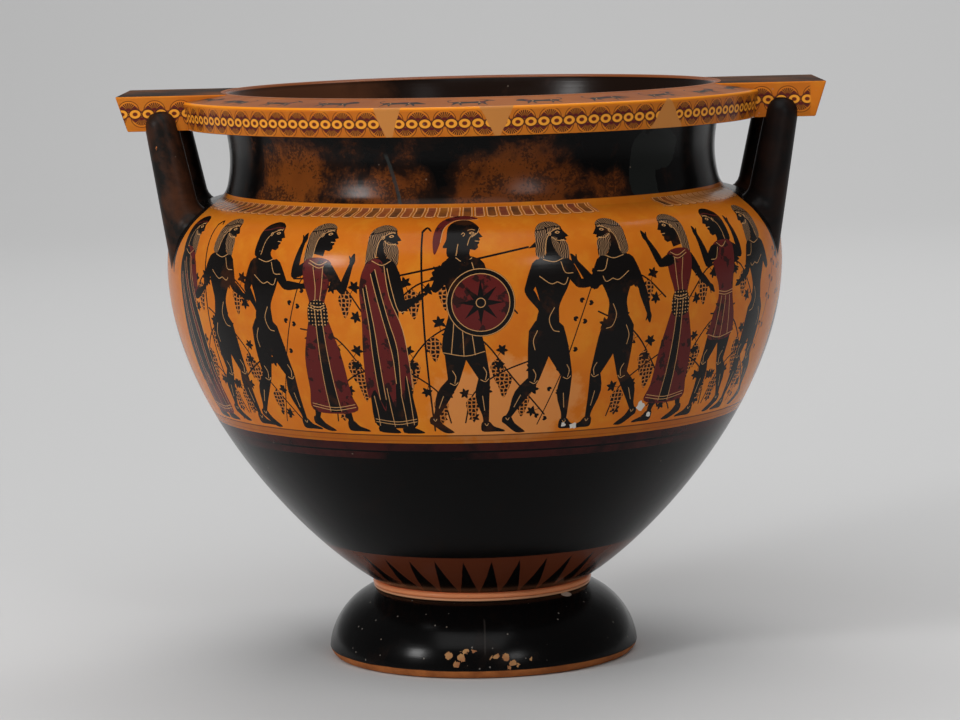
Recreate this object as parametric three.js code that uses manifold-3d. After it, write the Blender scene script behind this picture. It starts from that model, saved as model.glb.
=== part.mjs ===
// A column krater: a large wheel-thrown bowl for mixing wine and water, on a low
// rounded foot, with a short neck, a broad overhanging rim, and on each side a
// flat handle plate carried by two upright columns that rise from the shoulder.
// The pot is fired in one piece, so the model is one hollow solid.
//
// Millimetres, +Z up. The origin is the middle of the ring that the foot stands on,
// and the handles lie along X.

import * as THREE from "three";
import { mergeVertices } from "three/addons/utils/BufferGeometryUtils.js";
import Module from "manifold-3d";

const wasm = await Module();
wasm.setup();

// ---- driving dimensions ------------------------------------------------------

const HEIGHT = 565;                 // standing height, to the lip and the handle plates

const FOOT_TOP = 68;                // where the foot meets the fillet ring
const FOOT_REST_R = 149;            // outer edge of the ring it stands on
const FOOT_BELLY_R = 154;           // widest, at the top of the unpainted edge
const FOOT_EDGE_H = 9;              // height of the unpainted edge
const FOOT_HOLLOW_R = 126;          // mouth of the hollow under the foot
const FOOT_HOLLOW_TOP = 66;         // roof of that hollow

const FILLET_R = 109;               // small ring between foot and bowl
const FILLET_TOP = 76;

const BOWL_ROOT_R = 106.5;          // bowl where it leaves the fillet
const BOWL_ROOT_SLOPE = 30;         // degrees above level
const BOWL_ROOT_PULL = 70;          // how far the bowl runs at that slope
const BOWL_R = 304;                 // widest radius
const BOWL_Z = 392;                 // height of the widest place
const BOWL_PULL = 140;              // how long the wall stays near upright below it

const SHOULDER_PULL = 50;           // the same above the widest place
const SHOULDER_SLOPE = 12;          // degrees that the shoulder falls away from the neck
const SHOULDER_SPAN = 36;           // how far it runs at that slope

const NECK_FOOT_R = 251;            // neck where it flares out onto the shoulder
const NECK_FOOT_Z = 461;
const NECK_FLARE = 16;              // height of that flare
const NECK_R = 239.4;               // narrowest
const NECK_Z = 503;
const NECK_SWELL = 2.2;             // how much wider it is above the flare
const NECK_TOP_R = 243.4;           // neck under the rim

const RIM_Z = 531;                  // underside of the overhanging rim
const RIM_LOW_R = 284;              // lower edge of the rim's outer face
const RIM_HIGH_R = 288;             // upper edge
const RIM_FALL = 6.5;               // how far the top of the rim falls away outwards
const RIM_EDGE = 2.5;               // its rounded upper edge
const LIP_R = 247;                  // outer edge of the level lip
const MOUTH_R = 240;                // the mouth's edge

const WALL = 8.5;                   // wall of the neck and the upper bowl
const FLOOR = 13;                   // wall at the bottom of the bowl

const PLATE_REACH = 344;            // end of the handle plate at its top
const PLATE_UNDERCUT = 11;          // how far its end slopes in towards the underside
const PLATE_HALF = 75;              // half its width
const PLATE_BOTTOM = RIM_Z;         // its underside, level with the rim's

const COLUMN_Y = 69;                // middle of each column, to the side of the plate's middle
const COLUMN_TOP = 552;             // top of its rounded end
const COLUMN_TOP_X = 303.5;         // its middle there
const COLUMN_ROOT_X = 274.5;        // its middle at its root, inside the shoulder
const COLUMN_ROOT_Z = 396;
const COLUMN_R = 15.5;              // at the top
const COLUMN_ROOT_R = 20.5;         // at the root

const TURNS = 60;                   // flats round the pot
const CURVE_STEPS = 11;             // points along each long curve
const COLUMN_SIDES = 14;
const COLUMN_STEPS = 4;

// ---- profile ------------------------------------------------------------------

const point = (r, z) => new THREE.Vector2(r, z);
const radians = THREE.MathUtils.degToRad;
const along = (degrees, length) =>
  point(Math.cos(radians(degrees)) * length, Math.sin(radians(degrees)) * length);

// The bowl from the fillet up to its widest place.
const lowerBowl = new THREE.CubicBezierCurve(
  point(BOWL_ROOT_R, FILLET_TOP),
  point(BOWL_ROOT_R, FILLET_TOP).add(along(BOWL_ROOT_SLOPE, BOWL_ROOT_PULL)),
  point(BOWL_R, BOWL_Z - BOWL_PULL),
  point(BOWL_R, BOWL_Z),
);

// The shoulder from there to the foot of the neck.
const shoulder = new THREE.CubicBezierCurve(
  point(BOWL_R, BOWL_Z),
  point(BOWL_R, BOWL_Z + SHOULDER_PULL),
  point(NECK_FOOT_R, NECK_FOOT_Z).add(along(-SHOULDER_SLOPE, SHOULDER_SPAN)),
  point(NECK_FOOT_R, NECK_FOOT_Z),
);

// The flare at the foot of the neck, and the neck above it, a shallow hollow curve.
const flareTop = point(NECK_R + NECK_SWELL, NECK_FOOT_Z + NECK_FLARE);
const neckFlare = new THREE.QuadraticBezierCurve(
  point(NECK_FOOT_R, NECK_FOOT_Z),
  point(NECK_R + 2 * NECK_SWELL, NECK_FOOT_Z + NECK_FLARE / 5),
  flareTop,
);
const neck = new THREE.QuadraticBezierCurve(
  flareTop,
  point(NECK_R - 1.4 * NECK_SWELL, NECK_Z),
  point(NECK_TOP_R, RIM_Z),
);

// The rounded top of the foot.
const footRound = new THREE.CubicBezierCurve(
  point(FOOT_BELLY_R, FOOT_EDGE_H),
  point(FOOT_BELLY_R - 3, FOOT_EDGE_H + 28),
  point(FILLET_R + 22, FOOT_TOP - 8),
  point(FILLET_R - 2, FOOT_TOP),
);

// The hollow under the foot, from its roof out to the ring that the pot stands on.
const footHollow = new THREE.CubicBezierCurve(
  point(0, FOOT_HOLLOW_TOP),
  point(FOOT_HOLLOW_R * 0.7, FOOT_HOLLOW_TOP),
  point(FOOT_HOLLOW_R - 4, FOOT_HOLLOW_TOP * 0.6),
  point(FOOT_HOLLOW_R, 0),
);

// A curve moved into the pot by a wall that changes evenly from its start to its end.
function insideOf(curve, steps, wallAtStart, wallAtEnd) {
  return Array.from({ length: steps + 1 }, (_, i) => {
    const t = i / steps;
    const heading = curve.getTangent(t);
    const wall = THREE.MathUtils.lerp(wallAtStart, wallAtEnd, t);
    return curve.getPoint(t).add(point(-heading.y, heading.x).multiplyScalar(wall));
  });
}

const outline = [
  ...footHollow.getPoints(7),
  point(FOOT_REST_R, 0),
  ...footRound.getPoints(7),
  point(FILLET_R, FOOT_TOP + 2),
  point(FILLET_R, FILLET_TOP - 2),
  ...lowerBowl.getPoints(CURVE_STEPS),
  ...shoulder.getPoints(7).slice(1),
  ...neckFlare.getPoints(3).slice(1),
  ...neck.getPoints(4).slice(1),
  point(RIM_LOW_R, RIM_Z),
  point(RIM_HIGH_R, HEIGHT - RIM_FALL - RIM_EDGE),
  point(RIM_HIGH_R - RIM_EDGE / 2, HEIGHT - RIM_FALL),
  point(LIP_R + 2, HEIGHT - 0.8),
  point(LIP_R, HEIGHT),
  point(MOUTH_R + 1, HEIGHT),
  point(MOUTH_R, HEIGHT - 2),
];
const inside = [
  ...insideOf(lowerBowl, 8, FLOOR, WALL),
  ...insideOf(shoulder, 5, WALL, WALL).slice(1, -1),
  ...insideOf(neck, 2, WALL, WALL),
].reverse();
const profile = [...outline, ...inside, point(0, FILLET_TOP + FLOOR - 3)];

// ---- solids -------------------------------------------------------------------

// A closed three.js geometry as a manifold solid.
function solid(geometry) {
  const bare = new THREE.BufferGeometry();
  bare.setAttribute("position", geometry.getAttribute("position"));
  bare.setIndex(geometry.index);
  const merged = mergeVertices(bare, 1e-4);
  const corners = merged.index.array;
  const triVerts = [];
  for (let i = 0; i < corners.length; i += 3) {
    const [a, b, c] = corners.slice(i, i + 3);
    if (a !== b && b !== c && c !== a) triVerts.push(a, b, c);
  }
  return new wasm.Manifold(
    new wasm.Mesh({
      numProp: 3,
      vertProperties: merged.getAttribute("position").array,
      triVerts: new Uint32Array(triVerts),
    }),
  );
}

// A profile turned about Z.
function turned(points, segments) {
  return new THREE.LatheGeometry(points, segments).rotateX(Math.PI / 2);
}

// The pot without its handles.
function vessel() {
  return solid(turned(profile, TURNS));
}

// Everything inside the mouth and the lip, to trim what the handles would leave there.
function mouthSpace() {
  const space = [
    point(0, RIM_Z - 40),
    point(NECK_R - WALL, RIM_Z - 40),
    point(NECK_R - WALL, RIM_Z - 5),
    point(LIP_R - 1, RIM_Z + 2),
    point(LIP_R - 1, HEIGHT + 5),
    point(0, HEIGHT + 5),
  ];
  return solid(turned(space, TURNS));
}

// The flat plate of the handle on the +X side, flush with the lip.
function handlePlate() {
  const side = new THREE.Shape([
    point(NECK_R - 20, PLATE_BOTTOM),
    point(PLATE_REACH - PLATE_UNDERCUT, PLATE_BOTTOM),
    point(PLATE_REACH, HEIGHT),
    point(NECK_R - 20, HEIGHT),
  ]);
  const slab = new THREE.ExtrudeGeometry(side, {
    depth: 2 * PLATE_HALF,
    bevelEnabled: false,
  });
  return solid(slab.rotateX(Math.PI / 2).translate(0, PLATE_HALF, 0));
}

// One column: a leaning rod with a round top that thickens to its root.
function handleColumn(y) {
  const length = COLUMN_TOP - COLUMN_ROOT_Z;
  const dome = Array.from({ length: 4 }, (_, i) => {
    const turn = (i / 4) * (Math.PI / 2);
    return point(Math.cos(turn) * COLUMN_R, length - COLUMN_R + Math.sin(turn) * COLUMN_R);
  });
  const shaft = Array.from({ length: COLUMN_STEPS }, (_, i) => {
    const t = i / COLUMN_STEPS;
    return point(THREE.MathUtils.lerp(COLUMN_ROOT_R, COLUMN_R, t), t * (length - COLUMN_R));
  });
  const rod = turned([point(0, 0), ...shaft, ...dome, point(0, length)], COLUMN_SIDES);
  const place = rod.getAttribute("position");
  for (let i = 0; i < place.count; i++) {
    const t = place.getZ(i) / length;
    const middle = THREE.MathUtils.lerp(COLUMN_ROOT_X, COLUMN_TOP_X, t);
    place.setXYZ(i, place.getX(i) + middle, place.getY(i) + y, place.getZ(i) + COLUMN_ROOT_Z);
  }
  return solid(rod);
}

// One handle, turned to its side of the pot.
function handle(turn) {
  return handlePlate()
    .add(handleColumn(-COLUMN_Y))
    .add(handleColumn(COLUMN_Y))
    .subtract(mouthSpace())
    .rotate([0, 0, turn]);
}

// The hollow of the bowl and neck as a solid, so that no column root shows inside.
function bowlSpace() {
  const top = point(0, RIM_Z);
  const floor = point(0, FILLET_TOP + FLOOR - 3);
  return solid(turned([floor, ...[...inside].reverse(), top], TURNS));
}

function krater() {
  const pot = vessel().add(handle(0)).add(handle(180)).subtract(bowlSpace());
  const { numProp, vertProperties, triVerts } = pot.getMesh();
  const geometry = new THREE.BufferGeometry();
  geometry.setAttribute("position", new THREE.BufferAttribute(vertProperties, numProp));
  geometry.setIndex(new THREE.BufferAttribute(triVerts, 1));
  geometry.computeVertexNormals();
  return geometry;
}

// ---- the model ------------------------------------------------------------------

const firedClay = new THREE.MeshStandardMaterial({
  color: 0x17120f,
  roughness: 0.28,
  metalness: 0,
});

const model = new THREE.Group();
const pot = new THREE.Mesh(krater(), firedClay);
pot.name = "krater";
model.add(pot);

export default model;
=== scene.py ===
"""A black-figure column krater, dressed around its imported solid.

The pot is one piece of fired clay. Its mesh is a section turned about Z, with the painted picture
cut into the wall's own triangles, and the plates and columns of its handles joined on. Colour,
gloss, chips and misfired patches come from one material that reads the wall's unrolled map: turn
round the pot, and length along the section.
"""

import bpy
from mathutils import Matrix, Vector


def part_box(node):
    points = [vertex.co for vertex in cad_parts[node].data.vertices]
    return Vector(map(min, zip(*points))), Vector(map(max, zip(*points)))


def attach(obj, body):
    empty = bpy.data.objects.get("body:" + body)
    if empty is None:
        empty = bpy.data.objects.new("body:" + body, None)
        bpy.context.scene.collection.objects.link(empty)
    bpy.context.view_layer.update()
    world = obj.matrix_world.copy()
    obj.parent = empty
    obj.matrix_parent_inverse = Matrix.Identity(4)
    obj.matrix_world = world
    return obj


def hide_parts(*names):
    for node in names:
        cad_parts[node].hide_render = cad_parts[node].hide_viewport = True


bl_info = {
    "name": "Column Krater",
    "version": (1, 0, 0),
    "blender": (4, 5, 0),
    "location": "3D View > Sidebar > Krater",
    "description": "Builds a black-figure column krater with its painted friezes and a plain stage",
    "category": "Add Mesh",
}

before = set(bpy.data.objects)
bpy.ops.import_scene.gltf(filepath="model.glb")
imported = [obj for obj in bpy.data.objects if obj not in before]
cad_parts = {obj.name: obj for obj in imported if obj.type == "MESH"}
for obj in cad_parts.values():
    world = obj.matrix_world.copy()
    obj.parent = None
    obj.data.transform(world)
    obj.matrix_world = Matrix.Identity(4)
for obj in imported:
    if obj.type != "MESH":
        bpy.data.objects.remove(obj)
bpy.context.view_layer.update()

import math

import bmesh
import bpy
import numpy as np
from bpy.props import FloatProperty, FloatVectorProperty, IntProperty, PointerProperty
from mathutils import Matrix, Vector
from mathutils.geometry import delaunay_2d_cdt

LOW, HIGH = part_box("krater")
MM = 0.001


# ---- sizes and colours that a user may change --------------------------------------------------


def length(name, words, default):
    return FloatProperty(name=name, description=words, default=default, min=0.0, subtype="DISTANCE")


def colour(name, words, default):
    return FloatVectorProperty(
        name=name, description=words, default=default, size=3, min=0.0, max=1.0, subtype="COLOR"
    )


class KraterShape(bpy.types.PropertyGroup):
    height: length("Height", "From the foot ring to the lip and the handle plates",
        HIGH[2] - LOW[2])
    reach: length("Plate reach", "From the pot's axis to the end of a handle plate", HIGH[0])
    belly: length("Belly radius", "Widest radius of the bowl", HIGH[1])
    belly_height: length("Belly height", "Height of the widest place", 392 * MM)
    wall: length("Wall", "Thickness of the upper wall", 8.5 * MM)
    columns: length("Column spread", "From the plate's middle to the middle of a column", 69 * MM)
    facets: IntProperty(
        name="Facets", description="Divisions round the pot", default=180, min=48, max=480
    )


class KraterPaint(bpy.types.PropertyGroup):
    clay: colour("Reserved clay", "Glossed orange ground of the picture", (0.62, 0.185, 0.014))
    slip: colour("Black slip", "Black gloss", (0.0022, 0.0020, 0.0020))
    red: colour("Added red", "Dark red of garments and bands", (0.098, 0.0125, 0.0110))
    cut: colour("Incision", "Pale clay in the cut lines", (0.50, 0.26, 0.10))
    misfire: colour("Misfired slip", "Where the black fired to reddish brown",
        (0.19, 0.050, 0.0070))
    chip: colour("Chipped clay", "Bare clay in the chips", (0.40, 0.21, 0.085))
    # the ray ground is the clay's own reddish colour, darkened further with painted shade for the
    # shade under the bowl
    rays: colour("Ray ground", "Clay darkened with painted shade behind the rays at the bottom", (0.105, 0.026, 0.011))


class KraterStage(bpy.types.PropertyGroup):
    floor: colour("Floor", "Colour of the floor and backdrop", (0.60, 0.60, 0.60))
    distance: length("Camera distance", "From the pot's axis", 3.558)
    eye: length("Camera height", "Above the floor", 0.720)
    lens: FloatProperty(name="Lens", description="Focal length, mm", default=134.9, min=20.0)
    key: FloatProperty(name="Key light", description="Watts", default=60.0, min=0.0)


# ---- the section -------------------------------------------------------------------------------


def bezier(*points, steps=24):
    """Points along a Bezier curve of any degree."""
    t = np.linspace(0.0, 1.0, steps + 1)[:, None]
    layer = [np.asarray(p, float)[None, :].repeat(steps + 1, 0) for p in points]
    while len(layer) > 1:
        layer = [(1 - t) * a + t * b for a, b in zip(layer, layer[1:])]
    return layer[0]


def slope(degrees, run):
    """A step of that length at that angle above level."""
    return np.array([math.cos(math.radians(degrees)), math.sin(math.radians(degrees))]) * run


def bead(low, high, bulge, steps=6):
    """A half-round moulding between two points of the section."""
    low, high = np.asarray(low, float), np.asarray(high, float)
    along = high - low
    out = np.array([along[1], -along[0]]) / np.linalg.norm(along)
    turn = np.linspace(0.0, math.pi, steps + 1)[:, None]
    return low + along * (1 - np.cos(turn)) / 2 + out * bulge * np.sin(turn)


class Section:
    """The pot's section, as named stretches of (radius, height) run end to end from the middle of
    the underside, out and up the wall, over the lip and down to the middle of the bowl."""

    def __init__(self):
        self.names, self.curves, self.rows = [], [], []
        self.start, self.end = {}, {}
        self.length = 0.0

    def add(self, name, points, rows):
        points = np.asarray(points, float)
        steps = np.hypot(*np.diff(points, axis=0).T)
        run = self.length + np.concatenate([[0.0], np.cumsum(steps)])
        self.names.append(name)
        self.curves.append((run, points))
        self.rows.append(np.linspace(run[0], run[-1], rows + 1))
        self.start[name], self.end[name] = run[0], run[-1]
        self.length = run[-1]

    def place(self, s, stretch):
        """Radius and height at a length along one stretch."""
        run, points = self.curves[stretch]
        return np.interp(s, run, points[:, 0]), np.interp(s, run, points[:, 1])

    def place_all(self, s):
        """Radius and height at lengths anywhere along the section."""
        run = np.concatenate([run[:-1] for run, _ in self.curves] + [[self.length]])
        points = np.vstack([points[:-1] for _, points in self.curves] + [self.curves[-1][1][-1:]])
        return np.interp(s, run, points[:, 0]), np.interp(s, run, points[:, 1])

    def stretch_at(self, s):
        """Which stretch each length belongs to."""
        starts = [self.start[name] for name in self.names]
        return np.searchsorted(starts, s, side="right") - 1

    def facing(self, s, stretch):
        """The outward normal there, as (radial, upward)."""
        run, points = self.curves[stretch]
        tangent = np.gradient(points, run, axis=0)
        r, z = np.interp(s, run, tangent[:, 1]), -np.interp(s, run, tangent[:, 0])
        size = np.hypot(r, z)
        return r / size, z / size


def inside_of(points, wall_start, wall_end):
    """A stretch of the outside moved into the pot by the wall."""
    tangent = np.gradient(points, axis=0)
    tangent /= np.linalg.norm(tangent, axis=1)[:, None]
    wall = np.linspace(wall_start, wall_end, len(points))[:, None]
    return points + np.column_stack([-tangent[:, 1], tangent[:, 0]]) * wall


def pot_section(shape):
    """The whole pot's section, with the foot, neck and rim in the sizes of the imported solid."""
    height, belly, widest = shape.height, shape.belly, shape.belly_height
    hollow_top, hollow_r = 66 * MM, 125 * MM
    arris = 1.5 * MM                       # softening inside the ring that the pot stands on
    rest_r, foot_r, edge_top = 149 * MM, 154 * MM, 9 * MM
    fillet_low, fillet_join, fillet_high = 68 * MM, 70.6 * MM, 76 * MM
    fillet_r, root_r = 107 * MM, 106.5 * MM
    neck_foot = np.array([251, 461]) * MM
    flare_top = np.array([241.6, 477]) * MM
    neck_top_r = 243.4 * MM
    rim_low, rim_top = 531 * MM, height - 6.5 * MM
    rim_low_r, rim_turn_r, rim_turn = 283 * MM, 284.3 * MM, 1.2 * MM
    rim_high_r, brim_r = belly - 16.4 * MM, belly - 18.8 * MM
    lip_r, mouth_r = 247 * MM, 240 * MM
    lip_foot = (lip_r + 2.5 * MM, height - 0.9 * MM)
    throat_top = (231.8 * MM, rim_low - 10 * MM)
    floor_wall, floor_rise = 13 * MM, 10 * MM

    root = np.array([root_r, fillet_high])
    bowl = bezier(
        root, root + slope(30, 70 * MM), (belly, widest - 140 * MM), (belly, widest), steps=120
    )
    shoulder = bezier(
        (belly, widest), (belly, widest + 50 * MM), neck_foot + slope(-12, 36 * MM), neck_foot,
        steps=60,
    )
    flare = bezier(neck_foot, (243.8 * MM, 464.2 * MM), flare_top, steps=20)
    neck = bezier(flare_top, (236.3 * MM, 503 * MM), (neck_top_r, rim_low), steps=30)

    section = Section()
    section.add("hollow", bezier(
        (0, hollow_top), (88 * MM, hollow_top), (122 * MM, 40 * MM), (hollow_r, arris), steps=40),
        10)
    section.add("rest", [
        (hollow_r, arris), (hollow_r + arris, 0), (rest_r - 2 * MM, 0), (rest_r, 1 * MM)], 5)
    section.add("edge", bezier(
        (rest_r, 1 * MM), (152.5 * MM, 4 * MM), (foot_r, edge_top), steps=10), 3)
    section.add("foot", bezier(
        (foot_r, edge_top), (151 * MM, 37 * MM), (131 * MM, 60 * MM),
        (fillet_r, fillet_low), steps=60), 14)
    section.add("fillet_low", bead((fillet_r, fillet_low), (fillet_r, fillet_join), 1.6 * MM), 4)
    section.add("fillet", bead((fillet_r, fillet_join), root, 2.6 * MM, steps=10), 8)
    section.add("bowl", bowl, 44)
    section.add("shoulder", shoulder, 20)
    section.add("flare", flare, 6)
    section.add("neck", neck, 10)
    section.add("overhang", [(neck_top_r, rim_low), (rim_low_r, rim_low)], 6)
    section.add("rim_turn", bezier(
        (rim_low_r, rim_low), (rim_low_r + rim_turn, rim_low), (rim_turn_r, rim_low + rim_turn),
        steps=6), 3)
    section.add("rim", [(rim_turn_r, rim_low + rim_turn), (rim_high_r, rim_top - 3.2 * MM)], 6)
    section.add("rim_edge", bezier(
        (rim_high_r, rim_top - 3.2 * MM), (belly - 15.8 * MM, rim_top - 0.6 * MM),
        (brim_r, rim_top + 0.1 * MM), steps=10), 5)
    section.add("brim", [(brim_r, rim_top + 0.1 * MM), lip_foot], 8)
    section.add("lip", bezier(
        lip_foot, (lip_r + 0.5 * MM, height), (lip_r - 1 * MM, height), steps=8), 3)
    section.add("lip_top", [(lip_r - 1 * MM, height), (mouth_r + 2 * MM, height)], 2)
    section.add("mouth", bezier(
        (mouth_r + 2 * MM, height), (mouth_r, height), (mouth_r, height - 3 * MM),
        (mouth_r - 3.5 * MM, rim_low + 14 * MM), throat_top, steps=20), 10)
    within_neck = inside_of(np.vstack([flare[:-1], neck]), shape.wall, shape.wall)
    within_neck = within_neck[within_neck[:, 1] < throat_top[1]]
    section.add("throat", np.vstack([throat_top, within_neck[::-1]]), 8)
    within_top = inside_of(shoulder, shape.wall, shape.wall)
    section.add("under_shoulder", np.vstack([within_neck[0], within_top[::-1][1:]]), 10)
    within = inside_of(bowl, floor_wall, shape.wall)
    middle = (0, fillet_high + floor_rise)
    section.add("inside", np.vstack([within_top[0], within[::-1][1:], middle]), 22)
    section.picture_low = section.start["bowl"] + 232 * MM
    return section


# ---- painted picture ---------------------------------------------------------------------------

GROUND, BLACK, RED, CUT, LOSS, CLUSTER, DOTTED, HAIR = range(8)      # what a wall face is painted


def smooth(stations, closed=False, steps=4):
    """A Catmull-Rom curve through rows of numbers."""
    p = np.asarray(stations, float)
    if closed:
        p = np.vstack([p[-1:], p, p[:2]])
    else:
        p = np.vstack([2 * p[:1] - p[1:2], p, 2 * p[-1:] - p[-2:-1]])
    t = (np.arange(steps) / steps)[:, None]
    runs = []
    for a, b, c, d in zip(p[:-3], p[1:-2], p[2:-1], p[3:]):
        runs.append(
            (2 * b + (c - a) * t + (2 * a - 5 * b + 4 * c - d) * t ** 2
             + (3 * b - a - 3 * c + d) * t ** 3) / 2)
    if not closed:
        runs.append(p[-2:-1])
    return np.vstack(runs)


def limb(stations, steps=3):
    """Outline round a line of (x, y, half-width) stations, round at both ends."""
    line = smooth(stations, steps=steps)
    xy, half = line[:, :2], np.maximum(line[:, 2:], 0.0006)
    along = np.gradient(xy, axis=0)
    along /= np.maximum(np.linalg.norm(along, axis=1), 1e-9)[:, None]
    side = np.column_stack([-along[:, 1], along[:, 0]])
    ends = []
    for i, sign in ((-1, 1.0), (0, -1.0)):
        turn = np.radians([50, 90, 130])
        cap = xy[i] + half[i] * (
            np.cos(turn)[:, None] * side[i] * sign + np.sin(turn)[:, None] * along[i] * sign)
        ends.append(cap)
    return np.vstack([xy + side * half, ends[0], (xy - side * half)[::-1], ends[1]])


class Brush:
    """Lays a figure's shapes on the strip. A figure is drawn 1 high, facing right."""

    def __init__(self, shapes, x, foot, tall, facing=1):
        self.shapes, self.x, self.foot, self.tall, self.facing = shapes, x, foot, tall, facing

    def lay(self, paint, outline):
        outline = np.asarray(outline, float)
        placed = np.column_stack([
            self.x + outline[:, 0] * self.tall * self.facing,
            self.foot + outline[:, 1] * self.tall])
        self.shapes.append((paint, placed))

    def blot(self, paint, points, steps=4):
        self.lay(paint, smooth(points, closed=True, steps=steps))

    def limb(self, paint, stations, steps=3):
        self.lay(paint, limb(stations, steps))

    def cut(self, points, half=0.0016, paint=CUT, steps=4):
        line = smooth(points, steps=steps)
        along = np.gradient(line, axis=0)
        along /= np.maximum(np.linalg.norm(along, axis=1), 1e-9)[:, None]
        side = np.column_stack([-along[:, 1], along[:, 0]]) * half
        self.lay(paint, np.vstack([line + side, (line - side)[::-1]]))

    def cuts(self, *lines, half=0.0016):
        for line in lines:
            self.cut(line, half)


def head(brush, x, y, hair=BLACK, beard=0.0, tilt=0.0, long_hair=0.0, helmet=False):
    """A head in profile about (x, y), the middle of the skull."""
    c, s = math.cos(tilt), math.sin(tilt)

    def put(points):
        return [(x + (px * c - py * s) * 0.1, y + (px * s + py * c) * 0.1) for px, py in points]

    brush.lay(BLACK, smooth(put([
        (-.34, -.95), (-.36, -.35), (-.60, -.10), (-.66, .22), (-.45, .56), (-.02, .68), (.36, .54),
        (.52, .28)]), steps=3).tolist() + put([
        (.58, .10), (.80, -.20), (.62, -.25), (.68, -.36), (.60, -.41), (.65, -.50), (.56, -.56),
        (.58, -.70), (.44, -.82), (.22, -.78), (.16, -1.05)]))
    if beard:
        brush.blot(HAIR if beard > 0.5 else BLACK, put([
            (-.02, -.22), (.30, -.30), (.62, -.45), (.72, -.78), (.66, -.8 - beard * .6),
            (.34, -1.0 - beard * .2), (.05, -.75)]))
        brush.cut(put([(-.02, -.22), (.26, -.40), (.56, -.36)]))
    nape = -0.75 - long_hair
    brush.blot(hair, put([
        (.50, .40), (.20, .66), (-.20, .70), (-.58, .46), (-.76, .05), (-.78, -.40), (-.80, nape),
        (-.42, nape - .10), (-.28, -.40), (-.12, -.10), (.06, .10), (.42, .24)]))
    brush.cut(put([(.46, .26), (.08, .10), (-.12, -.10), (-.28, -.40), (-.40, nape)]))
    brush.cut(put([(.54, .30), (.10, .34), (-.30, .20), (-.72, .12)]), half=0.0028,
              paint=RED if hair == BLACK else BLACK)
    if helmet:
        brush.blot(BLACK, put([
            (.66, .30), (.20, .86), (-.40, .84), (-.78, .40), (-.84, -.30), (-.98, -.70),
            (-.50, -.62),
            (-.20, -.50), (.10, -.66), (.52, -.70), (.30, -.20), (.56, .02)]))
        brush.blot(RED, put([
            (.62, 1.02), (.10, 1.34), (-.60, 1.26), (-1.20, .70), (-1.44, -.20), (-1.36, -1.0),
            (-1.12, -.50), (-.96, .34), (-.44, .86), (.20, .90)]))
        brush.cuts(put([(.62, .98), (.20, .92), (-.44, .88), (-.94, .36), (-1.10, -.44)]),
                   put([(.30, -.20), (.56, .02), (.66, .30)]),
                   put([(.1, -.6), (.24, -.2), (.5, .0)]))
    brush.lay(CUT, smooth(put([(.18, .0), (.30, .09), (.42, .02), (.30, -.06)]), True, 3))
    brush.lay(BLACK, smooth(put([(.25, .01), (.31, .05), (.36, .01), (.31, -.03)]), True, 3))
    brush.cut(put([(.12, .17), (.30, .22), (.46, .17)]))
    brush.cut(put([(-.16, -.06), (-.08, .04), (-.02, -.06), (-.09, -.16)]))
    brush.cut(put([(.44, -.40), (.60, -.41)]))


def hand(brush, wrist, toward, spread=0.0):
    """A mitten of a hand with its thumb, set on a wrist."""
    (x, y), a = wrist, toward
    ux, uy = math.cos(a), math.sin(a)

    def put(points):
        return [(x + px * ux - py * uy, y + px * uy + py * ux) for px, py in points]

    brush.lay(BLACK, smooth(put([
        (-.004, .009), (.018, .014), (.040, .010 + spread), (.046, .003 + spread), (.030, -.006),
        (.016, -.012), (-.004, -.009)]), True, 3))
    brush.limb(BLACK, [(*put([(.010, .008)])[0], .005), (*put([(.026, .022 + spread)])[0], .003)])


def arm(brush, shoulder, elbow, wrist, paint=BLACK, spread=0.0, scale=1.0):
    sx, sy = shoulder
    ex, ey = elbow
    wx, wy = wrist
    k = scale
    brush.limb(paint, [
        (sx, sy, .030 * k), (sx * .6 + ex * .4, sy * .6 + ey * .4, .028 * k), (ex, ey, .019 * k)])
    brush.limb(BLACK, [
        (ex, ey, .0185 * k), (ex * .7 + wx * .3, ey * .7 + wy * .3, .0205 * k),
        (wx, wy, .0105 * k)])
    hand(brush, wrist, math.atan2(wy - ey, wx - ex), spread)


def leg(brush, hip, knee, ankle, point=1, paint=BLACK, lines=True, rise=0.0):
    """A leg from hip to toe; rise lifts the heel."""
    hx, hy = hip
    kx, ky = knee
    ax, ay = ankle
    brush.limb(paint, [
        (hx, hy, .062), (hx * .6 + kx * .4, hy * .6 + ky * .4, .052), (kx, ky, .0265)])
    calf = (kx * .62 + ax * .38 - .012 * point, ky * .62 + ay * .38)
    brush.limb(BLACK,
        [(kx, ky, .0260), (*calf, .0330), (kx * .2 + ax * .8, ky * .2 + ay * .8, .0165),
                       (ax, ay, .0135)])
    brush.lay(BLACK, smooth([
        (ax - .018 * point, ay + .012), (ax - .024 * point, ay - .026 + rise * .3),
        (ax - .008 * point, ay - .040 + rise * .3), (ax + .045 * point, ay - .040 - rise),
        (ax + .090 * point, ay - .041 - rise), (ax + .086 * point, ay - .030 - rise),
        (ax + .040 * point, ay - .012 - rise * .4), (ax + .016 * point, ay + .014)], True, 3))
    if lines:
        brush.cut([(kx - .018, ky - .010), (kx + .004, ky - .020), (kx + .020, ky - .006)])
        brush.cut([(kx - .004, ky + .05), (kx + .010, ky + .022), (kx + .004, ky - .012)])
        brush.cut([(*calf,), (kx * .3 + ax * .7 - .004, ky * .3 + ay * .7)])
        brush.cut([(ax - .006, ay + .004), (ax + .004, ay - .008), (ax + .012, ay + .004)])


def torso(brush, lean=0.0, paint=BLACK, waist=.046, chest=.082):
    brush.limb(paint, [
        (.000, .47, .062), (.004 + lean * .2, .56, waist + .004), (.006 + lean * .45, .62, waist),
        (.010 + lean * .8, .72, chest), (.010 + lean, .795, chest - .010),
        (.014 + lean, .832, .030)])


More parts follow.
